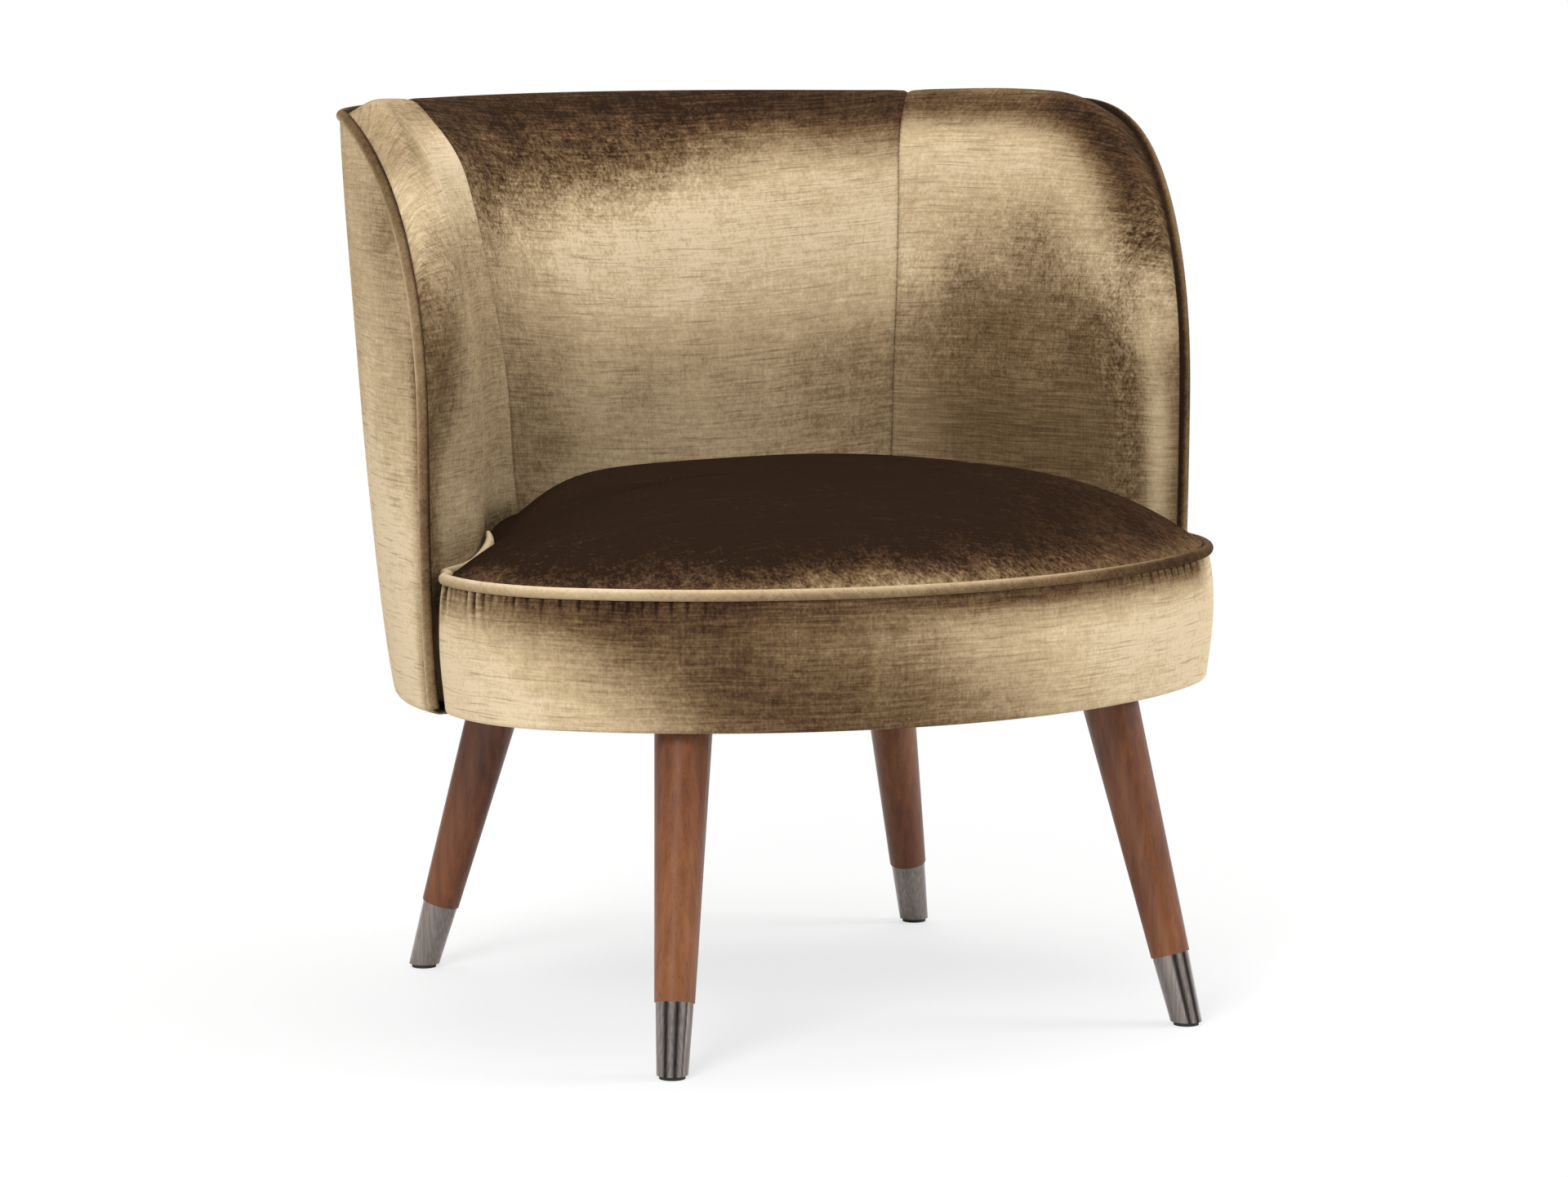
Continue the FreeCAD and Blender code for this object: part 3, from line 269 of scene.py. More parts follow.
def skin(name, front, back, marks, material, uv):
    """A closed skin of cloth: two grids of points joined along their four edges."""
    rows, columns = front.shape[:2]
    index = np.arange(rows * columns).reshape(rows, columns)
    quads = np.stack([index[:-1, :-1], index[1:, :-1], index[1:, 1:], index[:-1, 1:]], axis=2)
    quads = quads.reshape(-1, 4)
    edge = np.concatenate([index[:, 0], index[-1, 1:], index[-2::-1, -1], index[0, -2::-1]])
    other = index.size
    side = np.stack([edge[:-1], edge[:-1] + other, edge[1:] + other, edge[1:]], axis=1)
    faces = np.concatenate([quads, quads[:, ::-1] + other, side])
    verts = np.concatenate([front.reshape(-1, 3), back.reshape(-1, 3)])
    twice = np.concatenate([uv.reshape(-1, 2)] * 2)
    marks = {key: np.tile(np.broadcast_to(value, (rows, columns)).reshape(-1), 2)
             for key, value in marks.items()}
    return make_piece(name, verts, faces, twice[faces], marks, material)


def normals(grid):
    """Unit normals of a grid: the cross product of its two central differences."""
    n = np.cross(np.gradient(grid, axis=0), np.gradient(grid, axis=1))
    return n / np.maximum(np.linalg.norm(n, axis=2, keepdims=True), 1e-9)


def run_length(points, axis=0):
    """Millimetres along one direction of a row or grid of points, from its first."""
    steps = np.linalg.norm(np.diff(points, axis=axis), axis=-1)
    first = np.zeros_like(steps.take([0], axis=axis))
    return np.cumsum(np.concatenate([first, steps], axis=axis), axis=axis)


def soft_step(value, start, end):
    """0 before start, 1 past end, and smooth between; with end below start it falls as the value
    grows."""
    t = np.clip((value - start) / (end - start), 0, 1)
    return t * t * (3 - 2 * t)


def band(value, place, width):
    """A soft stripe: 1 at its place, falling away as a bell curve over its width."""
    return np.exp(-((value - place) / width) ** 2)


def patches(x, y, *rows):
    """The sum of soft patches, each a row of its place in x and y, its size in x and y, and its
    amount: the amount times a soft stripe in each direction."""
    return sum(amount * band(x, at_x, wide) * band(y, at_y, high)
               for at_x, at_y, wide, high, amount in rows)


def from_wing(along):
    """Distance round the tub from the front edge of the nearer wing."""
    return np.minimum(along, 2 * MIDDLE - along)


def tub_point(along, z, inset):
    """A point at an inset inside the outer face: an oval that loses the side and back tapers
    towards the hem, and whose wings lean in by CURL of the height above CURL_FOOT."""
    along, z, inset = np.broadcast_arrays(along, z, inset)
    turn = np.radians(WING_ANGLE) + along / UNROLL
    c, s = np.cos(turn), np.sin(turn)
    low = np.clip((EDGE - z) / (EDGE - HEM), 0, 1)
    taper = (SIDE_TAPER * c * c + BACK_TAPER * s * s) * (0.88 * low ** 1.36 + 0.12 * low ** 12)
    curl = CURL * (z - CURL_FOOT) * band(from_wing(along), 0, CURL_REACH)
    radius = 1 / np.hypot(c / HALF_WIDTH, s / HALF_DEPTH) - taper - curl - inset
    return np.stack([radius * c, AXIS_Y + radius * s, z], axis=-1)


def edge_height(along):
    """The wing and top edge: a rounded corner, level from CORNER behind the wing's front."""
    share = np.clip((CORNER - from_wing(along)) / CORNER, 0, 1)
    return CORNER_FOOT + (EDGE - CORNER_FOOT) * (1 - share ** CORNER_POWER) ** (1 / CORNER_POWER)


def hem_turn(radius):
    """Insets and heights of the cloth where it turns under the frame: the rest of a quarter round,
    by its angle in radians, and then level to RETURN in."""
    turn = np.linspace(0.3, 1.571, 5)
    inset, height = radius * (1 - np.cos(turn)), HEM + radius * (1 - np.sin(turn))
    return np.append(inset, RETURN), np.append(height, HEM)


# Rows run round the tub, and columns down it from 1 mm under the edge and round the hem. The pull
# of the cloth leaves waves of 0.5 mm times two sines.
around = np.concatenate([np.linspace(1.5, 60, 30), np.linspace(64, 2 * MIDDLE - 64, 200),
                         np.linspace(2 * MIDDLE - 60, 2 * MIDDLE - 1.5, 30)])[:, None]
down = np.concatenate([np.linspace(0, 0.86, 60), 1 - 0.14 * np.linspace(1, 0, 24)[1:] ** 1.5])
top = edge_height(around) - 1.0
inset, height = hem_turn(TURN_IN)
front = np.concatenate([tub_point(around, top - down * (top - (HEM + TURN_IN)), 0),
                        tub_point(around, height, inset)], axis=1)
wave = 0.5 * np.sin(front[..., 2] / 43 + around / 61) * np.sin(around / 97)
front = front + normals(front) * wave[..., None]
near, z = from_wing(around), front[..., 2]
# Painted sheen and shade on the outer cover: darker above 400 mm, painted shade in the crease beside the
# piping along each wing's front edge and a little more near the wings' fronts above 390 mm, and soft darker
# patches.
lay_and_light = 1.0 - 0.22 * soft_step(z, 400, 580) - 0.46 * band(near, 3, 11)
lay_and_light -= 0.16 * soft_step(near, 120, 30) * soft_step(z, 390, 450)
lay_and_light += patches(near, z, (60, 640, 45, 40, -0.16), (330, 520, 120, 90, -0.16),
                 (560, 600, 140, 70, -0.14), (230, 620, 90, 60, -0.10))
cloth_place = np.stack([run_length(front).mean(axis=1)[:, None] + 0 * z, z], axis=2) / 1000
shell = skin("outer_back", front, front - normals(front) * CLOTH, {"nap_and_light": lay_and_light, "crush": 0.75},
             pile_cloth("shell_cloth", 11.0), cloth_place)
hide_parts("outer_back_cover")

# Inner cover: three panels sewn together at two upright seams and pulled over the foam wall. It
# rolls out over its own edge to the piping, and is tucked down behind the seat.
SIDE_WALL, BACK_WALL, WING_ROLL, TOP_ROLL = 86.0, 104.0, 130.0, 160.0
BELLY, BELLY_Z, BELLY_REACH = 7.0, 500.0, 75.0
LEAN, LEAN_FOOT, LEAN_HEIGHT, LEAN_START = 25.0, 400.0, 318.0, 4.5
PUFF, TUCK, THREAD_RISE = 4.5, 338.0, 0.00033
FALL_SHARES = np.array([0, 0, 0.03, 0.09, 0.23, 0.42, 0.62, 0.81, 1])
corner_along = CORNER * np.linspace(0, 1, 400) ** 2
corner_line = np.stack([corner_along, edge_height(corner_along)], axis=1)


def edge_gap(along, z):
    """Distance to the wing and top edge, and how far up its corner the nearest point lies, from 0
    on the wing's front to 1 on the level top."""
    near, z = np.broadcast_arrays(from_wing(along), z)
    gaps = np.hypot(near[..., None] - corner_line[:, 0], z[..., None] - corner_line[:, 1])
    share = (corner_line[gaps.argmin(axis=-1), 1] - CORNER_FOOT) / (EDGE - CORNER_FOOT)
    gap = np.where(z <= CORNER_FOOT, near, np.where(near >= CORNER, EDGE - z, gaps.min(axis=-1)))
    return gap, np.where(z <= CORNER_FOOT, 0.0, np.where(near >= CORNER, 1.0, share))


def wall_depth(along, z):
    """Thickness of the stuffed wall: full * (1 - (1 - near)^2)^(1/power), where near is the distance
    to the edge over the length of the roll there, and a small belly at BELLY_Z."""
    gap, share = edge_gap(along, z)
    turn = np.radians(WING_ANGLE) + from_wing(along) / UNROLL
    full = SIDE_WALL * np.cos(turn) ** 2 + BACK_WALL * np.sin(turn) ** 2
    near = np.clip(gap / (WING_ROLL + (TOP_ROLL - WING_ROLL) * share), 0, 1)
    belly = BELLY * near ** 2 * band(z, BELLY_Z, BELLY_REACH)
    return full * (1 - (1 - near) ** 2) ** (1 / (1 + 2.5 * share)) + belly


def through(points, count):
    """Even samples of a smooth curve through points: on each span the cubic whose end slopes are
    those of the parabola through three neighbours, with chord length as the parameter."""
    place = run_length(points)
    slope = np.gradient(points, place, axis=0)
    t = np.linspace(0, place[-1], count)
    i = np.clip(np.searchsorted(place, t, side="right") - 1, 0, len(points) - 2)
    h = np.diff(place)[i]
    s, h = ((t - place[i]) / h)[:, None], h[:, None]
    rise, fall = s * s * (3 - 2 * s), s * (1 - s)
    return (points[i] * (1 - rise) + points[i + 1] * rise + slope[i] * h * fall * (1 - s)
            - slope[i + 1] * h * fall * s)


def thread_line(place, z):
    """Where an upright thread of the cover runs: the seams lean towards the middle of the back by
    LEAN times the cube of the height's share, and the cloth beside them follows less and less."""
    near = from_wing(place)
    weight = (near / SEAM) ** 2 if near < SEAM else (MIDDLE - near) / (MIDDLE - SEAM)
    lean = weight * (LEAN * ((z - LEAN_FOOT) / LEAN_HEIGHT) ** 3 - LEAN_START)
    return place + lean if place < MIDDLE else place - lean


def wall_section(place):
    """Control points of the inner face along one upright thread: from beside the piping over the
    crest of the roll, which is puffed up behind each wing, and down to the tuck at the seat."""
    top = float(edge_height(place))
    z = top - FALL_SHARES * (top - TUCK)
    along = thread_line(place, z)
    depth = wall_depth(along, z)
    roll = depth[2]
    puff = PUFF * band(from_wing(place), 215, 85)
    z[1], depth[1] = top + 0.14 * roll + puff, 0.55 * roll
    z[2] += 0.5 * puff
    depth[0] = min(3.0, 0.3 * roll)
    return tub_point(along, z, depth)


def inner_panel(name, places, marks, material, nodes, thread_rise=0.0):
    """One panel of the inner cover between two places along the tub, drawn in along its seams. Its
    level threads rise towards both sides by thread_rise * (distance to its middle)^2."""
    grid = np.stack([through(wall_section(place), 110) for place in places])
    n = normals(grid)
    middle = len(places) // 2, 60
    n *= np.sign((n[middle] * (np.array([0, AXIS_Y, 0]) - grid[middle])).sum())
    seam = np.minimum(np.abs(places - SEAM), np.abs(places - FAR_SEAM))[:, None]
    near, z = from_wing(places)[:, None], grid[..., 2]
    ripple = 0.7 * np.sin(near / 31 + z / 57) * np.sin(z / 39 - near / 83)
    ripple *= soft_step(z, EDGE - 10, EDGE - 60)
    pull = ripple - 1.7 * band(seam, 0, 2.4) - 0.8 * band(seam, 0, 12)
    grid = grid + n * pull[..., None]
    height = run_length(grid[:, ::-1], 1)[:, ::-1]
    run = run_length(grid).mean(axis=1)[:, None]
    values = {"seam": 0.65 * band(seam, 0, 0.9), **marks(near, z)}
    cloth_place = np.stack([run + 0 * z, height - thread_rise * (run - run[-1] / 2) ** 2], axis=2) / 1000
    panel = skin(name, grid, grid - n * CLOTH, values, material, cloth_place)
    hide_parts(*nodes)


def left_lay_and_light(near, z):
    """The sitter's left wing, in painted sheen and shade: dark below and pale above, the dark reaching up
    in a point behind the wing, with a painted highlight stripe where the wing turns forward, and brown
    painted shade along its edge and crest."""
    gap = edge_gap(near, z)[0]
    lay_and_light = 0.34 + 0.55 * soft_step(z, 520, 650) + 0.16 * soft_step(near, 215, 300) * soft_step(z, 640, 580)
    lay_and_light += patches(near, z, (150, 612, 52, 32, -0.20), (290, 560, 50, 30, 0.12))
    stripe = band(near, 14 + 22 * soft_step(z, 540, 600), 7.5 + 24 * soft_step(z, 500, 580))
    lay_and_light += stripe * (0.46 - 0.36 * soft_step(z, 510, 600))
    lay_and_light -= 0.43 * band(gap, 0, 20) * soft_step(z, 560, 620)
    lay_and_light -= 0.40 * band(gap, 0, 22) * soft_step(z, 570, 650) * soft_step(near, 200, 150)
    lay_and_light -= 0.22 * soft_step(z, 680, 712) * soft_step(near, 150, 200)
    border = band(z, 575 + 30 * band(near, 150, 60), 45)
    crush = 0.7 + 0.5 * border - 0.35 * soft_step(z, 500, 460) + 0.8 * band(near, 32, 14)
    return {"nap_and_light": lay_and_light, "crush": crush}


def middle_lay_and_light(near, z):
    """The middle of the back, in painted sheen and shade: dark on its crest, and lower down towards the
    sitter's right, pale below that, and browner again towards the seat."""
    t = np.linspace(0, 1, len(near))[:, None]
    level, width = 673 - 36 * soft_step(t, 0.2, 0.7), 30 + 18 * t
    dark = soft_step((z - level) / width, -1, 1)
    lay_and_light = 0.17 + (0.75 - 0.27 * soft_step(t, 0.68, 0.95)) * (1 - dark) - 0.10 * soft_step(z, 682, 706)
    fall = 0.24 + 0.18 * soft_step(t, 0.30, 0) - 0.08 * soft_step(t, 0.8, 1)
    lay_and_light -= fall * soft_step(z, 600, 485)
    lay_and_light += patches(t, z, (0.5, 548, 0.25, 30, 0.08), (0.2, 470, 0.16, 50, -0.10))
    border = band(z, level, width + 10) * soft_step(t, 0.2, 0.6)
    return {"nap_and_light": lay_and_light, "crush": 0.75 + 0.9 * border - 0.2 * soft_step(z, 690, 712)}


def right_lay_and_light(near, z):
    """The sitter's right wing, in painted sheen and shade: palest on its shoulder, with painted shade along
    its upper edge, brown painted shade along its front edge below the shoulder, and painted shade again low
    down behind the seat."""
    gap = edge_gap(near, z)[0]
    edge = 1 - soft_step(near, 6, 28 + 44 * band(z, 525, 60))
    lay_and_light = 0.62 + 0.40 * soft_step(z, 590, 680) - 0.30 * edge * soft_step(z, 625, 570)
    lay_and_light -= 0.45 * band(gap, 0, 20) * soft_step(z, 640, 690)
    lay_and_light += patches(near, z, (56, 410, 22, 22, 0.14), (30, 450, 14, 30, 0.05))
    lay_and_light -= 0.20 * soft_step(z, 402, 382) * soft_step(near, 45, 110)
    return {"nap_and_light": lay_and_light, "crush": 0.8 + 0.5 * band(z, 610, 40)}


wing = np.concatenate([np.linspace(1.5, 70, 60), np.linspace(72, SEAM - 12, 70),
                       np.linspace(SEAM - 11, SEAM, 16)])
centre = np.concatenate([np.linspace(SEAM, SEAM + 11, 16), np.linspace(SEAM + 13, FAR_SEAM - 13, 170),
                         np.linspace(FAR_SEAM - 11, FAR_SEAM, 16)])
inner_panel("left_inside", wing, left_lay_and_light, pile_cloth("left_inside_cloth", 21.0),
            ("left_side_cover", "left_side_foam", "left_wing_edge_foam"))
inner_panel("middle_inside", centre, middle_lay_and_light, pile_cloth("middle_inside_cloth", 31.0),
            ("back_centre_cover", "back_foam"), THREAD_RISE)
inner_panel("right_inside", 2 * MIDDLE - wing[::-1], right_lay_and_light, pile_cloth("right_inside_cloth", 41.0),
            ("right_side_cover", "right_side_foam", "right_wing_edge_foam"))

# Back piping: a filler cord wrapped in bias cut cloth and sewn between the inner and outer covers,
# round the whole edge of the tub from hem to hem. A painted highlight runs along the side that faces
# outwards.
CORD, CORD_SIDES, BACK_RINGS = 4.5, 16, 900
cord_turn = np.linspace(0, 2 * math.pi, CORD_SIDES, endpoint=False)


def cord_skin(name, path, guide, marks, material, radius=CORD):
    """A round cord along a path, its rings square to the run; guide is a direction across it, and
    radius is one number or one per ring."""
    run = np.gradient(path, axis=0)
    run /= np.linalg.norm(run, axis=1, keepdims=True)
    side = guide - run * (guide * run).sum(axis=1, keepdims=True)
    side /= np.linalg.norm(side, axis=1, keepdims=True)
    up = np.cross(run, side)
    ring = side[:, None] * np.cos(cord_turn)[:, None] + up[:, None] * np.sin(cord_turn)[:, None]
    verts = path[:, None] + ring * np.reshape(radius, (-1, 1, 1))
    index = np.arange(len(path) * CORD_SIDES).reshape(len(path), CORD_SIDES)
    beside = np.roll(index, -1, axis=1)
    faces = np.stack([index[:-1], index[1:], beside[1:], beside[:-1]], axis=2).reshape(-1, 4)
    along = run_length(path)
    around = np.arange(CORD_SIDES + 1) * 2 * math.pi * CORD / CORD_SIDES
    i, j = np.meshgrid(np.arange(len(path) - 1), np.arange(CORD_SIDES), indexing="ij")
    bias = [np.stack([along[a] + around[b], around[b] - along[a]], axis=2)
            for a, b in ((i, j), (i + 1, j), (i + 1, j + 1), (i, j + 1))]
    k = np.arange(CORD_SIDES // 2 - 1)
    cap = np.stack([k, k + 1, CORD_SIDES - 2 - k, CORD_SIDES - 1 - k], axis=1)
    caps = np.concatenate([index[0][cap][:, ::-1], index[-1][cap]])
    uv = np.concatenate([np.stack(bias, axis=2).reshape(-1, 4, 2), np.zeros((len(caps), 4, 2))]) / 1000
    marks = {key: np.broadcast_to(value, index.shape).reshape(-1) for key, value in marks.items()}
    faces = np.concatenate([faces, caps])
    return make_piece(name, verts.reshape(-1, 3), faces, uv, marks, material)


upright = np.stack([np.zeros(30), np.linspace(HEM + CORD, CORNER_FOOT, 31)[:-1]], axis=1)
level = np.linspace(CORNER, MIDDLE, 60)[1:]
half = np.concatenate([upright, corner_line[::6], np.stack([level, np.full(len(level), EDGE)], axis=1)])
other_half = np.stack([2 * MIDDLE - half[-2::-1, 0], half[-2::-1, 1]], axis=1)
edge_line = through(np.concatenate([half, other_half]), BACK_RINGS)
path = tub_point(edge_line[:, 0], edge_line[:, 1], 0)
# A painted highlight round the cord's outward side, and slow changes of tone along it.
lay_and_light = 0.34 + 0.40 * np.cos(cord_turn + 2.6) ** 3 + 0.08 * np.sin(np.arange(BACK_RINGS) / 23)[:, None]
back_piping = cord_skin("edge_piping", path, tub_point(edge_line[:, 0], edge_line[:, 1], 2 * CORD) - path,
                        {"nap_and_light": lay_and_light, "crush": 0.5}, pile_cloth("edge_piping_cloth", 51.0, 0.4))
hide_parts("back_piping")

# Seat: a fixed foam pad under one piece of the cloth, crowned above its piping and tucked in
# behind. Its pile is painted dark, as if lying away from the eye, with gold specks and painted gold sheen
# where it turns down at the front.
FRONT_R, FRONT_Y, EAR_R, EAR_TURN, EAR_X, EAR_Y = 428.18, 106.93, 139.0, 40.29, 187.0, -113.65
EAR_CORNER_R, EAR_STRAIGHT = 18.0, 8.0
PIPING_Z, CROWN, CROWN_REACH, CROWN_POWER, BLEND = 363.0, 64.0, 200.0, 2.3, 20.0
CLIMB, CLIMB_START, CLIMB_END, LIP = 24.0, 40.0, 125.0, 4.0
WING_FRONT, EASE, SQUEEZE, TUCK_DEPTH, SEAT_CLOTH = 20.0, 4.0, 11.0, 12.0, 1.5
SEAT_HEART = np.array([0.0, -40.0])


def front_line(turn, inset):
    """Outline of the sitter's left half by how far the edge has turned, in degrees: a long front
    arc, a tighter arc round the ear and a small rounded corner behind it."""
    turn, inset = np.broadcast_arrays(np.asarray(turn, float), inset)
    t = np.radians(turn)
    long = np.stack([(FRONT_R - inset) * np.sin(t), FRONT_Y - (FRONT_R - inset) * np.cos(t)], axis=-1)
    ear = np.stack([EAR_X + (EAR_R - inset) * np.sin(t), EAR_Y - (EAR_R - inset) * np.cos(t)], axis=-1)
    tip = np.stack([EAR_X + EAR_R - EAR_CORNER_R + (EAR_CORNER_R - inset) * np.sin(t),
                    EAR_Y + EAR_STRAIGHT - (EAR_CORNER_R - inset) * np.cos(t)], axis=-1)
    return np.where(turn[..., None] <= EAR_TURN, long, np.where(turn[..., None] <= 90, ear, tip))


def notch_line(clearance, along):
    """The line in front of the inner face of the sitter's left wing and back, at the piping's
    height."""
    return tub_point(along, PIPING_Z, wall_depth(along, PIPING_Z) + clearance)[:, :2]


def both_sides(half):
    """Points of the left half, from the middle of the front, as one run from left to right."""
    return np.concatenate([half[::-1], half[1:] * np.array([-1, 1, 1, 1])[:half.shape[1]]])


def with_value(points, value):
    """Points with one more value each: plan points with their heights, or a path with its radius."""
    column = np.broadcast_to(np.asarray(value)[..., None], (*points.shape[:-1], 1))
    return np.concatenate([points, column], axis=-1)


def inside(x, y):
    """Distance inside the front outline, with the sides carried straight back."""
    x = np.abs(x)
    front = FRONT_R - np.hypot(x, y - FRONT_Y)
    side = np.minimum(front, EAR_X + EAR_R - x)
    ear = EAR_R - np.hypot(x - EAR_X, y - EAR_Y)
    turned = np.degrees(np.arctan2(x, FRONT_Y - y)) > EAR_TURN
    return np.where(y > EAR_Y, side, np.where(turned, ear, front))


def wall_gap(x, y):
    """Distance in front of the inner face of the wing and back, with 1 mm more for each millimetre
    ahead of the wing's front, and the place along the tub."""
    turn = np.arctan2(y - AXIS_Y, np.abs(x))
    along = np.clip((turn - math.radians(WING_ANGLE)) * UNROLL, -200, MIDDLE)
    face = np.linalg.norm(notch_line(0.0, np.clip(along, 0, None).reshape(-1)) - (0, AXIS_Y), axis=1)
    gap = face.reshape(along.shape) - np.hypot(x, y - AXIS_Y)
    return np.clip(gap, 0, None) + np.clip(WING_FRONT - along, 0, None), along


def climb(along):
    """How far the seat's edge rises behind the wing's front."""
    return CLIMB * soft_step(along, CLIMB_START, CLIMB_END)


# A fan of lines from the heart of the seat out to the loop of its edge, with their points closer
# together towards the edge.
turns = np.concatenate([np.linspace(0, 88, 80), np.linspace(90, 150, 12)])
back_places = 16 + (MIDDLE - 16) * np.linspace(0, 1, 120) ** 1.3
room = 2 * CORD + EASE * soft_step(back_places, 30, 80) - SQUEEZE * soft_step(back_places, 80, 132)
loop = both_sides(np.concatenate([front_line(turns, CORD), notch_line(room, back_places)]))
behind = np.concatenate([np.zeros(len(turns)), soft_step(back_places, 60, 170)])
behind = np.concatenate([behind[::-1], behind[1:]])[:, None]
shares = 1 - (1 - np.linspace(0, 1, 90)) ** 1.7
plan = SEAT_HEART + (loop[:, None] - SEAT_HEART) * shares[None, :, None]
x, y = plan[..., 0], plan[..., 1]
to_edge = np.linalg.norm(loop[:, None] - plan, axis=2)
wall, along = wall_gap(x, y)
gap = inside(x, y)
# The crown rises off the wing more steeply at the sitter's left, where the wing's hold also ends
# sooner, and most steeply off the back.
steep = 0.6 + 0.8 * soft_step(x, -60, 60)
steep = steep + (2 - steep) * soft_step(along, 45, 115)
wall = wall + 1.5 * np.clip(WING_FRONT - along, 0, None) * soft_step(x, -60, 60)
# The crown follows the smaller of the two gaps, with the change from one to the other rounded off.
lower = np.clip(-BLEND * np.logaddexp(-gap / BLEND, -steep * wall / BLEND), 0, None)
rise = CROWN * (1 - (1 - np.clip(lower / CROWN_REACH, 0, 1)) ** CROWN_POWER)
lip = (climb(along) + LIP * soft_step(along, 85, 125)) * band(wall, 0, 30)
rise = np.cbrt(rise ** 3 + lip ** 3)
tuck = behind * TUCK_DEPTH * (1 - np.clip(to_edge / 14, 0, 1)) ** 2
wave = 0.6 * np.sin(x / 41) * np.sin(y / 37) * np.clip(gap / 60, 0, 1)
top = with_value(plan, PIPING_Z + rise - tuck + wave)
# Painted gold sheen along the front edge, strongest just to the sitter's right of the middle and fading
# back and to the sides, with more crushed specks there; the rest a little paler towards the sitter's left.
ahead, far = soft_step(y, -60, -140), soft_step(x, 60, 200)
lay_and_light = ahead * band(gap, 0, 19) * (0.22 + 0.20 * band(x, -50, 110))
lay_and_light += 0.10 * ahead * band(gap, 0, 52) * (1 - 0.5 * far - soft_step(x, -60, -220))
lay_and_light += 0.07 * soft_step(x, 60, 220) - 0.05
crush = 0.5 + 1.1 * ahead * band(gap, 0, 34) * (1 - 0.6 * far - 0.4 * soft_step(x, -60, -260))
seat = skin("seat_pad", top[::-1], top[::-1] - (0, 0, SEAT_CLOTH),
            {"nap_and_light": lay_and_light[::-1], "crush": crush[::-1]}, pile_cloth("seat_cloth", 61.0, 0.35, 0.0),
            np.stack([x, y + 0.15 * x], axis=2)[::-1] / 1000)
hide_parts("seat_top_cover", "seat_foam")

# Seat piping: the same covered cord along the seat's edge. Behind each ear it climbs along the
# wing's inner face, and then sinks out of sight, squeezed thin between the seat and the back.
SINK, THINNING, CLEAR, SEAT_RINGS = 45.0, 0.7, 0.6, 700
turns = np.concatenate([np.linspace(0, 89, 140), np.linspace(90, 145, 14)])
rear = np.linspace(18, 165, 40)
height = PIPING_Z + climb(rear) - SINK * soft_step(rear, 105, 160)
radius = CORD * (1 - THINNING * soft_step(rear, 78, 118))
room = radius + CLEAR + EASE * soft_step(rear, 30, 80) * soft_step(rear, 120, 84)
front = with_value(with_value(front_line(turns, 0.0), PIPING_Z), CORD)
wing_side = with_value(tub_point(rear, height, wall_depth(rear, height) + room), radius)
path, radius = np.split(through(both_sides(np.concatenate([front, wing_side])), SEAT_RINGS), [3], axis=1)
x = path[:, :1]
far = soft_step(x, 30, 200)
# Painted highlight along the cord's upper side, narrower and fainter towards the sitter's left, where the
# cord is painted in shade, and the cord paler towards the sitter's right.
facing = np.clip(np.cos(cord_turn + 0.25 - 0.25 * far), 0, 1) ** (2 + 5 * far)
lay_and_light = 0.40 - 0.26 * far + (0.38 - 0.30 * soft_step(x, 200, 300)) * facing
lay_and_light += 0.05 * np.sin(np.arange(SEAT_RINGS) / 19)[:, None] + 0.24 * soft_step(x, -80, -220)
seat_piping = cord_skin("seat_edge_piping", path, np.tile((0.0, 0.0, 1.0), (len(path), 1)),
                        {"nap_and_light": lay_and_light, "crush": 0.5}, pile_cloth("seat_piping_cloth", 71.0, 0.4), radius)
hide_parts("seat_piping")

# Seat border: a band of the cloth over wadding and a thin front board, from the piping down to the
# hem. It swells between them, and under the piping it is gathered at each ear, with small nicks
# of the sewing in front of the gathers.
SWELL, GATHER, BORDER_TURN = 5.0, 2.0, 5.0
turns = np.concatenate([np.linspace(0, 22, 60), np.linspace(22.4, 40.3, 130), np.linspace(40.8, 89, 115),
                        np.linspace(90, 150, 24)])
line = both_sides(front_line(turns, 0.0))
run = run_length(line)
run = (run - run[-1] / 2)[:, None]
side = np.stack([np.gradient(line[:, 1]), -np.gradient(line[:, 0])], axis=1)
side /= np.linalg.norm(side, axis=1, keepdims=True)
side *= -np.sign(side[len(side) // 2, 1])
# The band stands out by SWELL times a sine down its height, less at its hidden ends, and by GATHER
# times folds about 8 mm apart, whose pitch wanders. The folds die away below the piping.
low = np.linspace(0, 1, 46)[None, :] ** 1.25
ends = np.concatenate([turns[::-1], turns[1:]])[:, None]
top = PIPING_Z - CORD + 1
drop = low * (top - (HEM + BORDER_TURN))
strong = soft_step(np.abs(run), 320, 385)
short = soft_step(np.abs(run), 150, 230) * (1 - strong)
fold = np.sin(run * 2 * math.pi / 8.2 + 1.9 * np.sin(run / 11) + 0.09 * drop * np.sin(run / 27))
fold *= 0.6 + 0.4 * np.sin(run / 6.7 + 1)
nick = np.clip(np.sin(run * 2 * math.pi / 12.5 + 1.6 * np.sin(run / 19)), 0, 1) ** 4
gather = strong * fold * band(drop, 0, 15 + 7 * np.sin(run / 8.3)) - 0.7 * short * nick * band(drop, 0, 9)
swell = SWELL * np.sin(math.pi * low ** 0.8) * (1 - 0.8 * soft_step(ends, 90, 150)) + GATHER * gather
inset, height = hem_turn(BORDER_TURN)
cloth = np.concatenate([with_value(line[:, None] + side[:, None] * swell[..., None], top - drop),
                        with_value(line[:, None] - side[:, None] * inset[:, None], height)], axis=1)
n = normals(cloth)
n *= -np.sign(n[len(cloth) // 2, 20, 1])
z = cloth[..., 2]
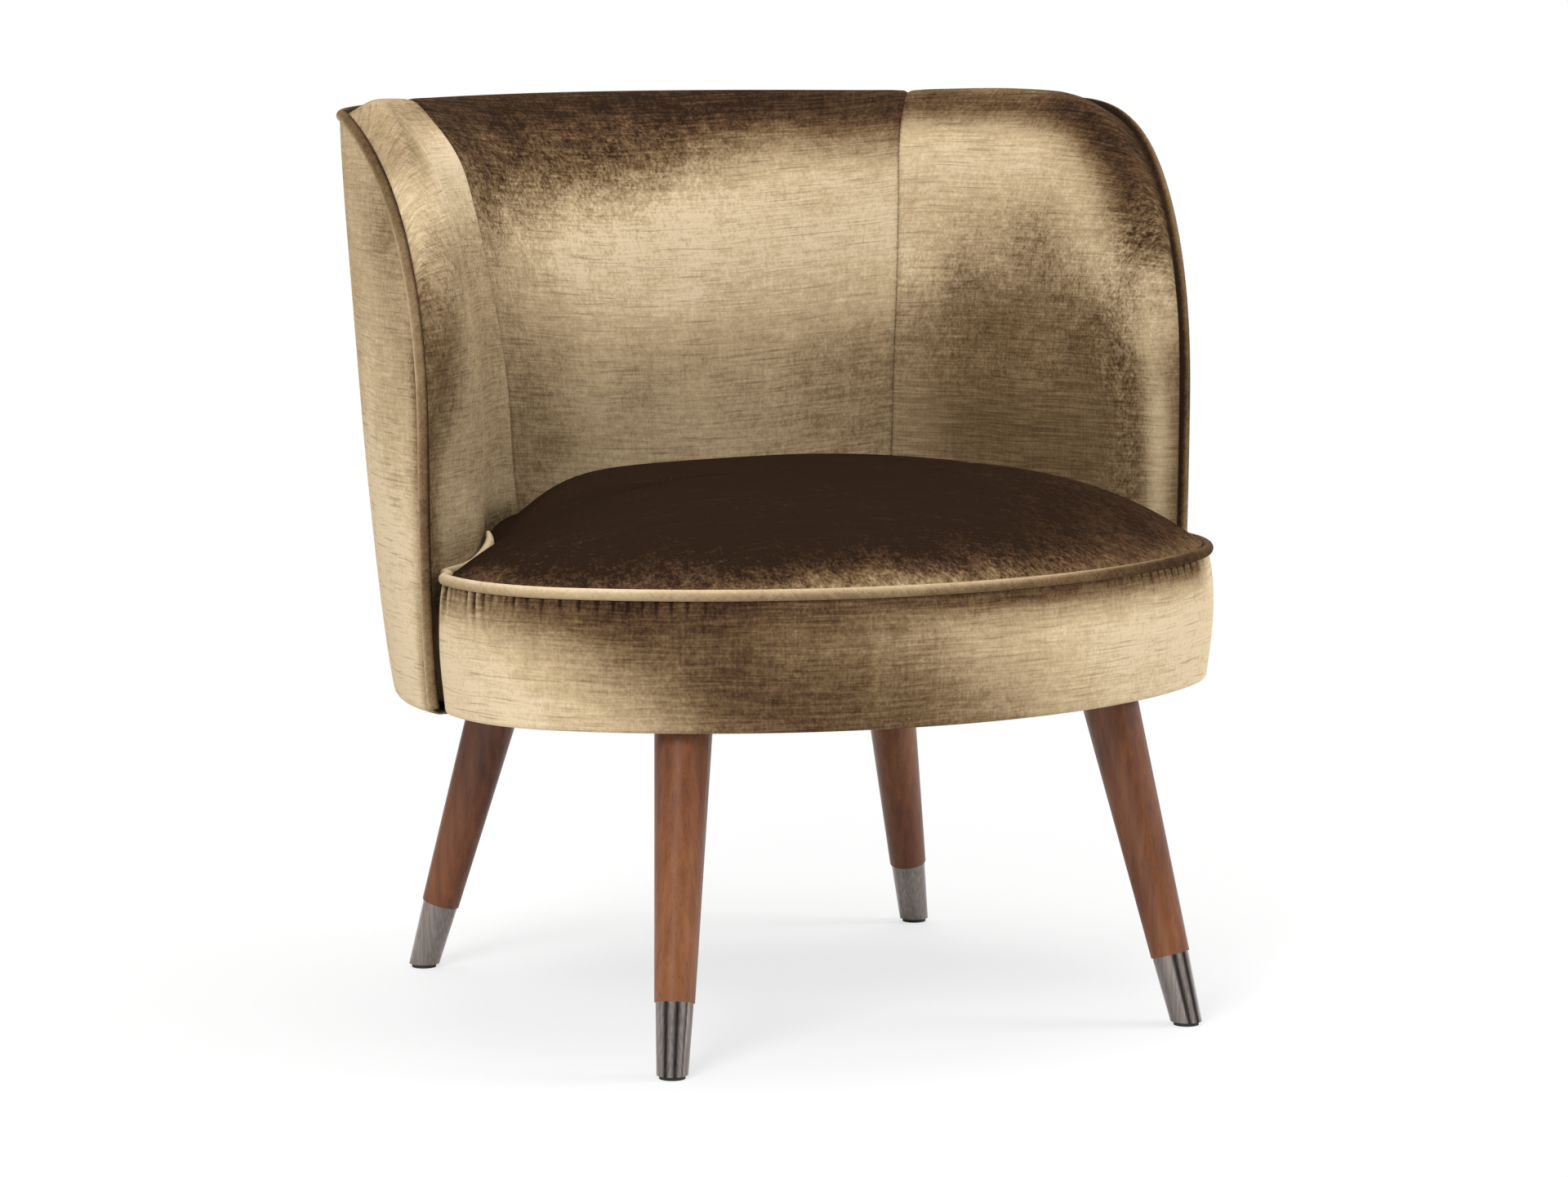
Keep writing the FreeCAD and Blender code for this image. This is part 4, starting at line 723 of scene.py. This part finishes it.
# Painted sheen and shade: dark along a slanting line to the sitter's right of the middle, and pale away
# from it.
off = run - 165 - 1.4 * (z - 302)
lay_and_light = 1.0 - 0.76 * np.exp(-np.abs(off / np.where(off < 0, 225, 140)) ** 2.4)
# Painted shadow under the piping along the top of the band, and painted light and shade on the gathers:
# paler ridges, darker hollows and nicks.
lay_and_light -= 0.52 * lay_and_light * soft_step(z, 318, 358) * soft_step(run, -335, -285)
lay_and_light -= 0.22 * soft_step(z, 341, 354) * soft_step(run, -325, -285) * soft_step(run, 80, -20)
lay_and_light += 0.34 * np.pad(gather - 0.3 * np.abs(gather), ((0, 0), (0, len(height))))
border = skin("seat_border", cloth, cloth - n * CLOTH, {"nap_and_light": lay_and_light, "crush": 0.65},
              pile_cloth("border_cloth", 81.0), np.stack([run + 0 * z, z], axis=2) / 1000)
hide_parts("seat_front_cover", "seat_front_wadding")

# Dust cover: black non-woven cloth pulled flat and stapled under the frame, cut out round each leg.
# Its rim is cut on the outline, and inside that it is a plain net of square cells.
CELL, CLOTH_Z, CLOTH_INSET, DUST_CLOTH, SAG = 6.0, 256.2, 10.0, 0.8, 0.8
LEG_ROOM = 23.4
LEG_HOLES = [(side * x, y) for side in (1, -1) for x, y in ((185.2, -236.6), (174.2, 132.5))]
FIBRE_BLACK = (0.008, 0.008, 0.008)


def sheet_gap(x, y):
    """Distance inside the sheet's outline: the seat's front, or the tub's oval behind the ears,
    less the inset, and outside the round hole at each leg."""
    turn = np.arctan2(y - AXIS_Y, np.abs(x))
    reach = tub_point((turn - math.radians(WING_ANGLE)) * UNROLL, HEM, 0)[..., :2] - (0, AXIS_Y)
    tub = np.linalg.norm(reach, axis=-1) - np.hypot(x, y - AXIS_Y)
    share = soft_step(y, -110, -50)
    gap = inside(x, y) * (1 - share) + tub * share - CLOTH_INSET
    for place in LEG_HOLES:
        gap = np.minimum(gap, np.hypot(x - place[0], y - place[1]) - LEG_ROOM)
    return gap


x, y = np.meshgrid(np.arange(-58, 59) * CELL, np.arange(-56, 57) * CELL, indexing="ij")
kept = sheet_gap(x[:-1, :-1] + CELL / 2, y[:-1, :-1] + CELL / 2) > 0
padded = np.pad(kept, 1)
touching = np.stack([padded[:-1, :-1], padded[1:, :-1], padded[:-1, 1:], padded[1:, 1:]])
used = touching.any(axis=0)
at_rim = used & ~touching.all(axis=0)
# Each point at the rim moves on to the outline, in two steps of its gap along the gap's slope.
for _ in range(2):
    gap = sheet_gap(x, y) * at_rim
    slope_x = sheet_gap(x + 0.5, y) - sheet_gap(x - 0.5, y)
    slope_y = sheet_gap(x, y + 0.5) - sheet_gap(x, y - 0.5)
    x, y = x - gap * slope_x, y - gap * slope_y
index = np.cumsum(used.reshape(-1)).reshape(x.shape) - 1
flat = np.stack([x, y], axis=2)[used]
quads = np.stack([index[:-1, :-1], index[:-1, 1:], index[1:, 1:], index[1:, :-1]], axis=2)[kept]
sag = SAG * np.sin(flat[:, 0] / 50) * np.sin(flat[:, 1] / 43)
sag *= soft_step(sheet_gap(flat[:, 0], flat[:, 1]), 6, 70)
lower = np.column_stack([flat, CLOTH_Z + sag])
# The rim is each side of a cell whose way back belongs to no other cell.
count = len(flat)
ways = np.concatenate([quads[:, [k, (k + 1) % 4]] for k in range(4)])
rim = ways[~np.isin(ways[:, 0] * count + ways[:, 1], ways[:, 1] * count + ways[:, 0])]
walls = np.stack([rim[:, 1], rim[:, 0], rim[:, 0] + count, rim[:, 1] + count], axis=1)
faces = np.concatenate([quads, quads[:, ::-1] + count, walls])
verts = np.concatenate([lower, lower + (0, 0, DUST_CLOTH)])

black = Wiring("dust_cloth")
spot = black.add("TexCoord").outputs["Object"]
fibres = black.noise(spot, (900.0, 900.0, 900.0), 3.0, 0.6)
black.set(Base_Color=black.ramp(fibres, [(0.3, FIBRE_BLACK), (0.7, GREY_BLACK)]), Roughness=0.95)
black.bump(fibres, 0.0003, 0.5)
dust_sheet = make_piece("dust_sheet", verts, faces, verts[faces][..., :2] / 1000, {}, black.material)
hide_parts("dust_cover")
size = np.ptp(flat, axis=0) / 1000

# Studio: a pale floor that turns white away from the chair, a large soft light from the left and
# above, a weaker one from the right and one overhead. The surround is white to the camera, gives an
# even light, and shows soft dark screens to reflections alone.
WHITE, FLOOR_GREY = (1.0, 1.0, 1.0, 1.0), (0.9, 0.9, 0.9, 1.0)
FLOOR_HALF, SHADE_START, SHADE_END, SURROUND = 30, 0.35, 0.95, 0.55
SCREENS, SCREEN_TURN, SCREEN_DEPTH = 5.0, 0.6, 0.45
LAMP_AIM = Vector((0, 0, 0.4))

floor_mesh = bpy.data.meshes.new("floor")
floor_corners = [(x * FLOOR_HALF, y * FLOOR_HALF, 0) for x, y in ((-1, -1), (1, -1), (1, 1), (-1, 1))]
floor_mesh.from_pydata(floor_corners, [], [(0, 1, 2, 3)])
floor = bpy.data.objects.new("floor", floor_mesh)
bpy.context.scene.collection.objects.link(floor)
ground = Wiring("pale_floor")
ground.set(Base_Color=FLOOR_GREY, Roughness=0.8)
glow = ground.add("Emission", {"Color": WHITE, "Strength": 1.0})
ray = ground.add("LightPath").outputs["Is Camera Ray"]
place = ground.add("TexCoord").outputs["Object"]
distance = ground.add("VectorMath", {0: place}, operation="LENGTH").outputs["Value"]
share = ground.calc("MULTIPLY_ADD", ground.between(distance, SHADE_START, SHADE_END), 0.35, 0.65)
mix = ground.add("MixShader", {0: ground.calc("MULTIPLY", ray, share), 1: ground.shader.outputs[0],
                               2: glow.outputs[0]})
ground.put(ground.tree.nodes["Material Output"].inputs["Surface"], mix.outputs[0])
floor_mesh.materials.append(ground.material)

world = bpy.data.worlds.new("studio")
bpy.context.scene.world = world
world.use_nodes = True
sky = world.node_tree


def sky_math(operation, *values):
    """One sum in the world's nodes."""
    node = sky.nodes.new("ShaderNodeMath")
    node.operation = operation
    for socket, value in zip(node.inputs, values):
        if isinstance(value, bpy.types.NodeSocket):
            sky.links.new(value, socket)
        else:
            socket.default_value = value
    return node.outputs[0]


ray = sky.nodes.new("ShaderNodeLightPath")
way = sky.nodes.new("ShaderNodeSeparateXYZ")
sky.links.new(sky.nodes.new("ShaderNodeTexCoord").outputs["Generated"], way.inputs[0])
round_about = sky_math("ARCTAN2", way.outputs[1], way.outputs[0])
screens = sky_math("SINE", sky_math("MULTIPLY_ADD", round_about, SCREENS, SCREEN_TURN))
screens = sky_math("MULTIPLY", screens, SCREEN_DEPTH)
mirrored = sky_math("MULTIPLY_ADD", ray.outputs["Is Glossy Ray"], screens, SURROUND)
level = sky_math("MAXIMUM", mirrored, ray.outputs["Is Camera Ray"])
sky.links.new(level, sky.nodes["Background"].inputs["Strength"])
sky.nodes["Background"].inputs["Color"].default_value = WHITE

for name, place, size, power in (("key", (-2.4, -2.2, 2.6), 1.6, 95.0),
                                 ("fill", (2.6, -1.2, 1.6), 1.4, 42.0),
                                 ("top", (0.3, 0.6, 3.2), 2.2, 40.0)):
    data = bpy.data.lights.new(name, "AREA")
    data.shape = "DISK"
    data.size = size
    data.energy = power
    lamp = bpy.data.objects.new(name, data)
    lamp.location = place
    lamp.rotation_euler = (Vector(place) - LAMP_AIM).to_track_quat("Z", "Y").to_euler()
    bpy.context.scene.collection.objects.link(lamp)

# Camera: a long lens a little above the seat, 26 degrees round to the sitter's right.
AZIMUTH, ELEVATION, DISTANCE, LENS, FILM = -26.0, 7.34, 4.34, 123.75, 36.0
AIM, SIDE_SHIFT = Vector((0, -0.05825, 0.3325)), -0.01175

turn, tilt = math.radians(AZIMUTH), math.radians(ELEVATION)
away = Vector((math.sin(turn) * math.cos(tilt), -math.cos(turn) * math.cos(tilt), math.sin(tilt)))
right = Vector((math.cos(turn), math.sin(turn), 0))
data = bpy.data.cameras.new("camera")
data.sensor_width, data.lens = FILM, LENS
camera = bpy.data.objects.new("camera", data)
camera.location = AIM + right * SIDE_SHIFT + away * DISTANCE
camera.rotation_euler = away.to_track_quat("Z", "Y").to_euler()
bpy.context.scene.collection.objects.link(camera)
bpy.context.scene.camera = camera
bpy.context.scene.view_settings.view_transform = "Standard"
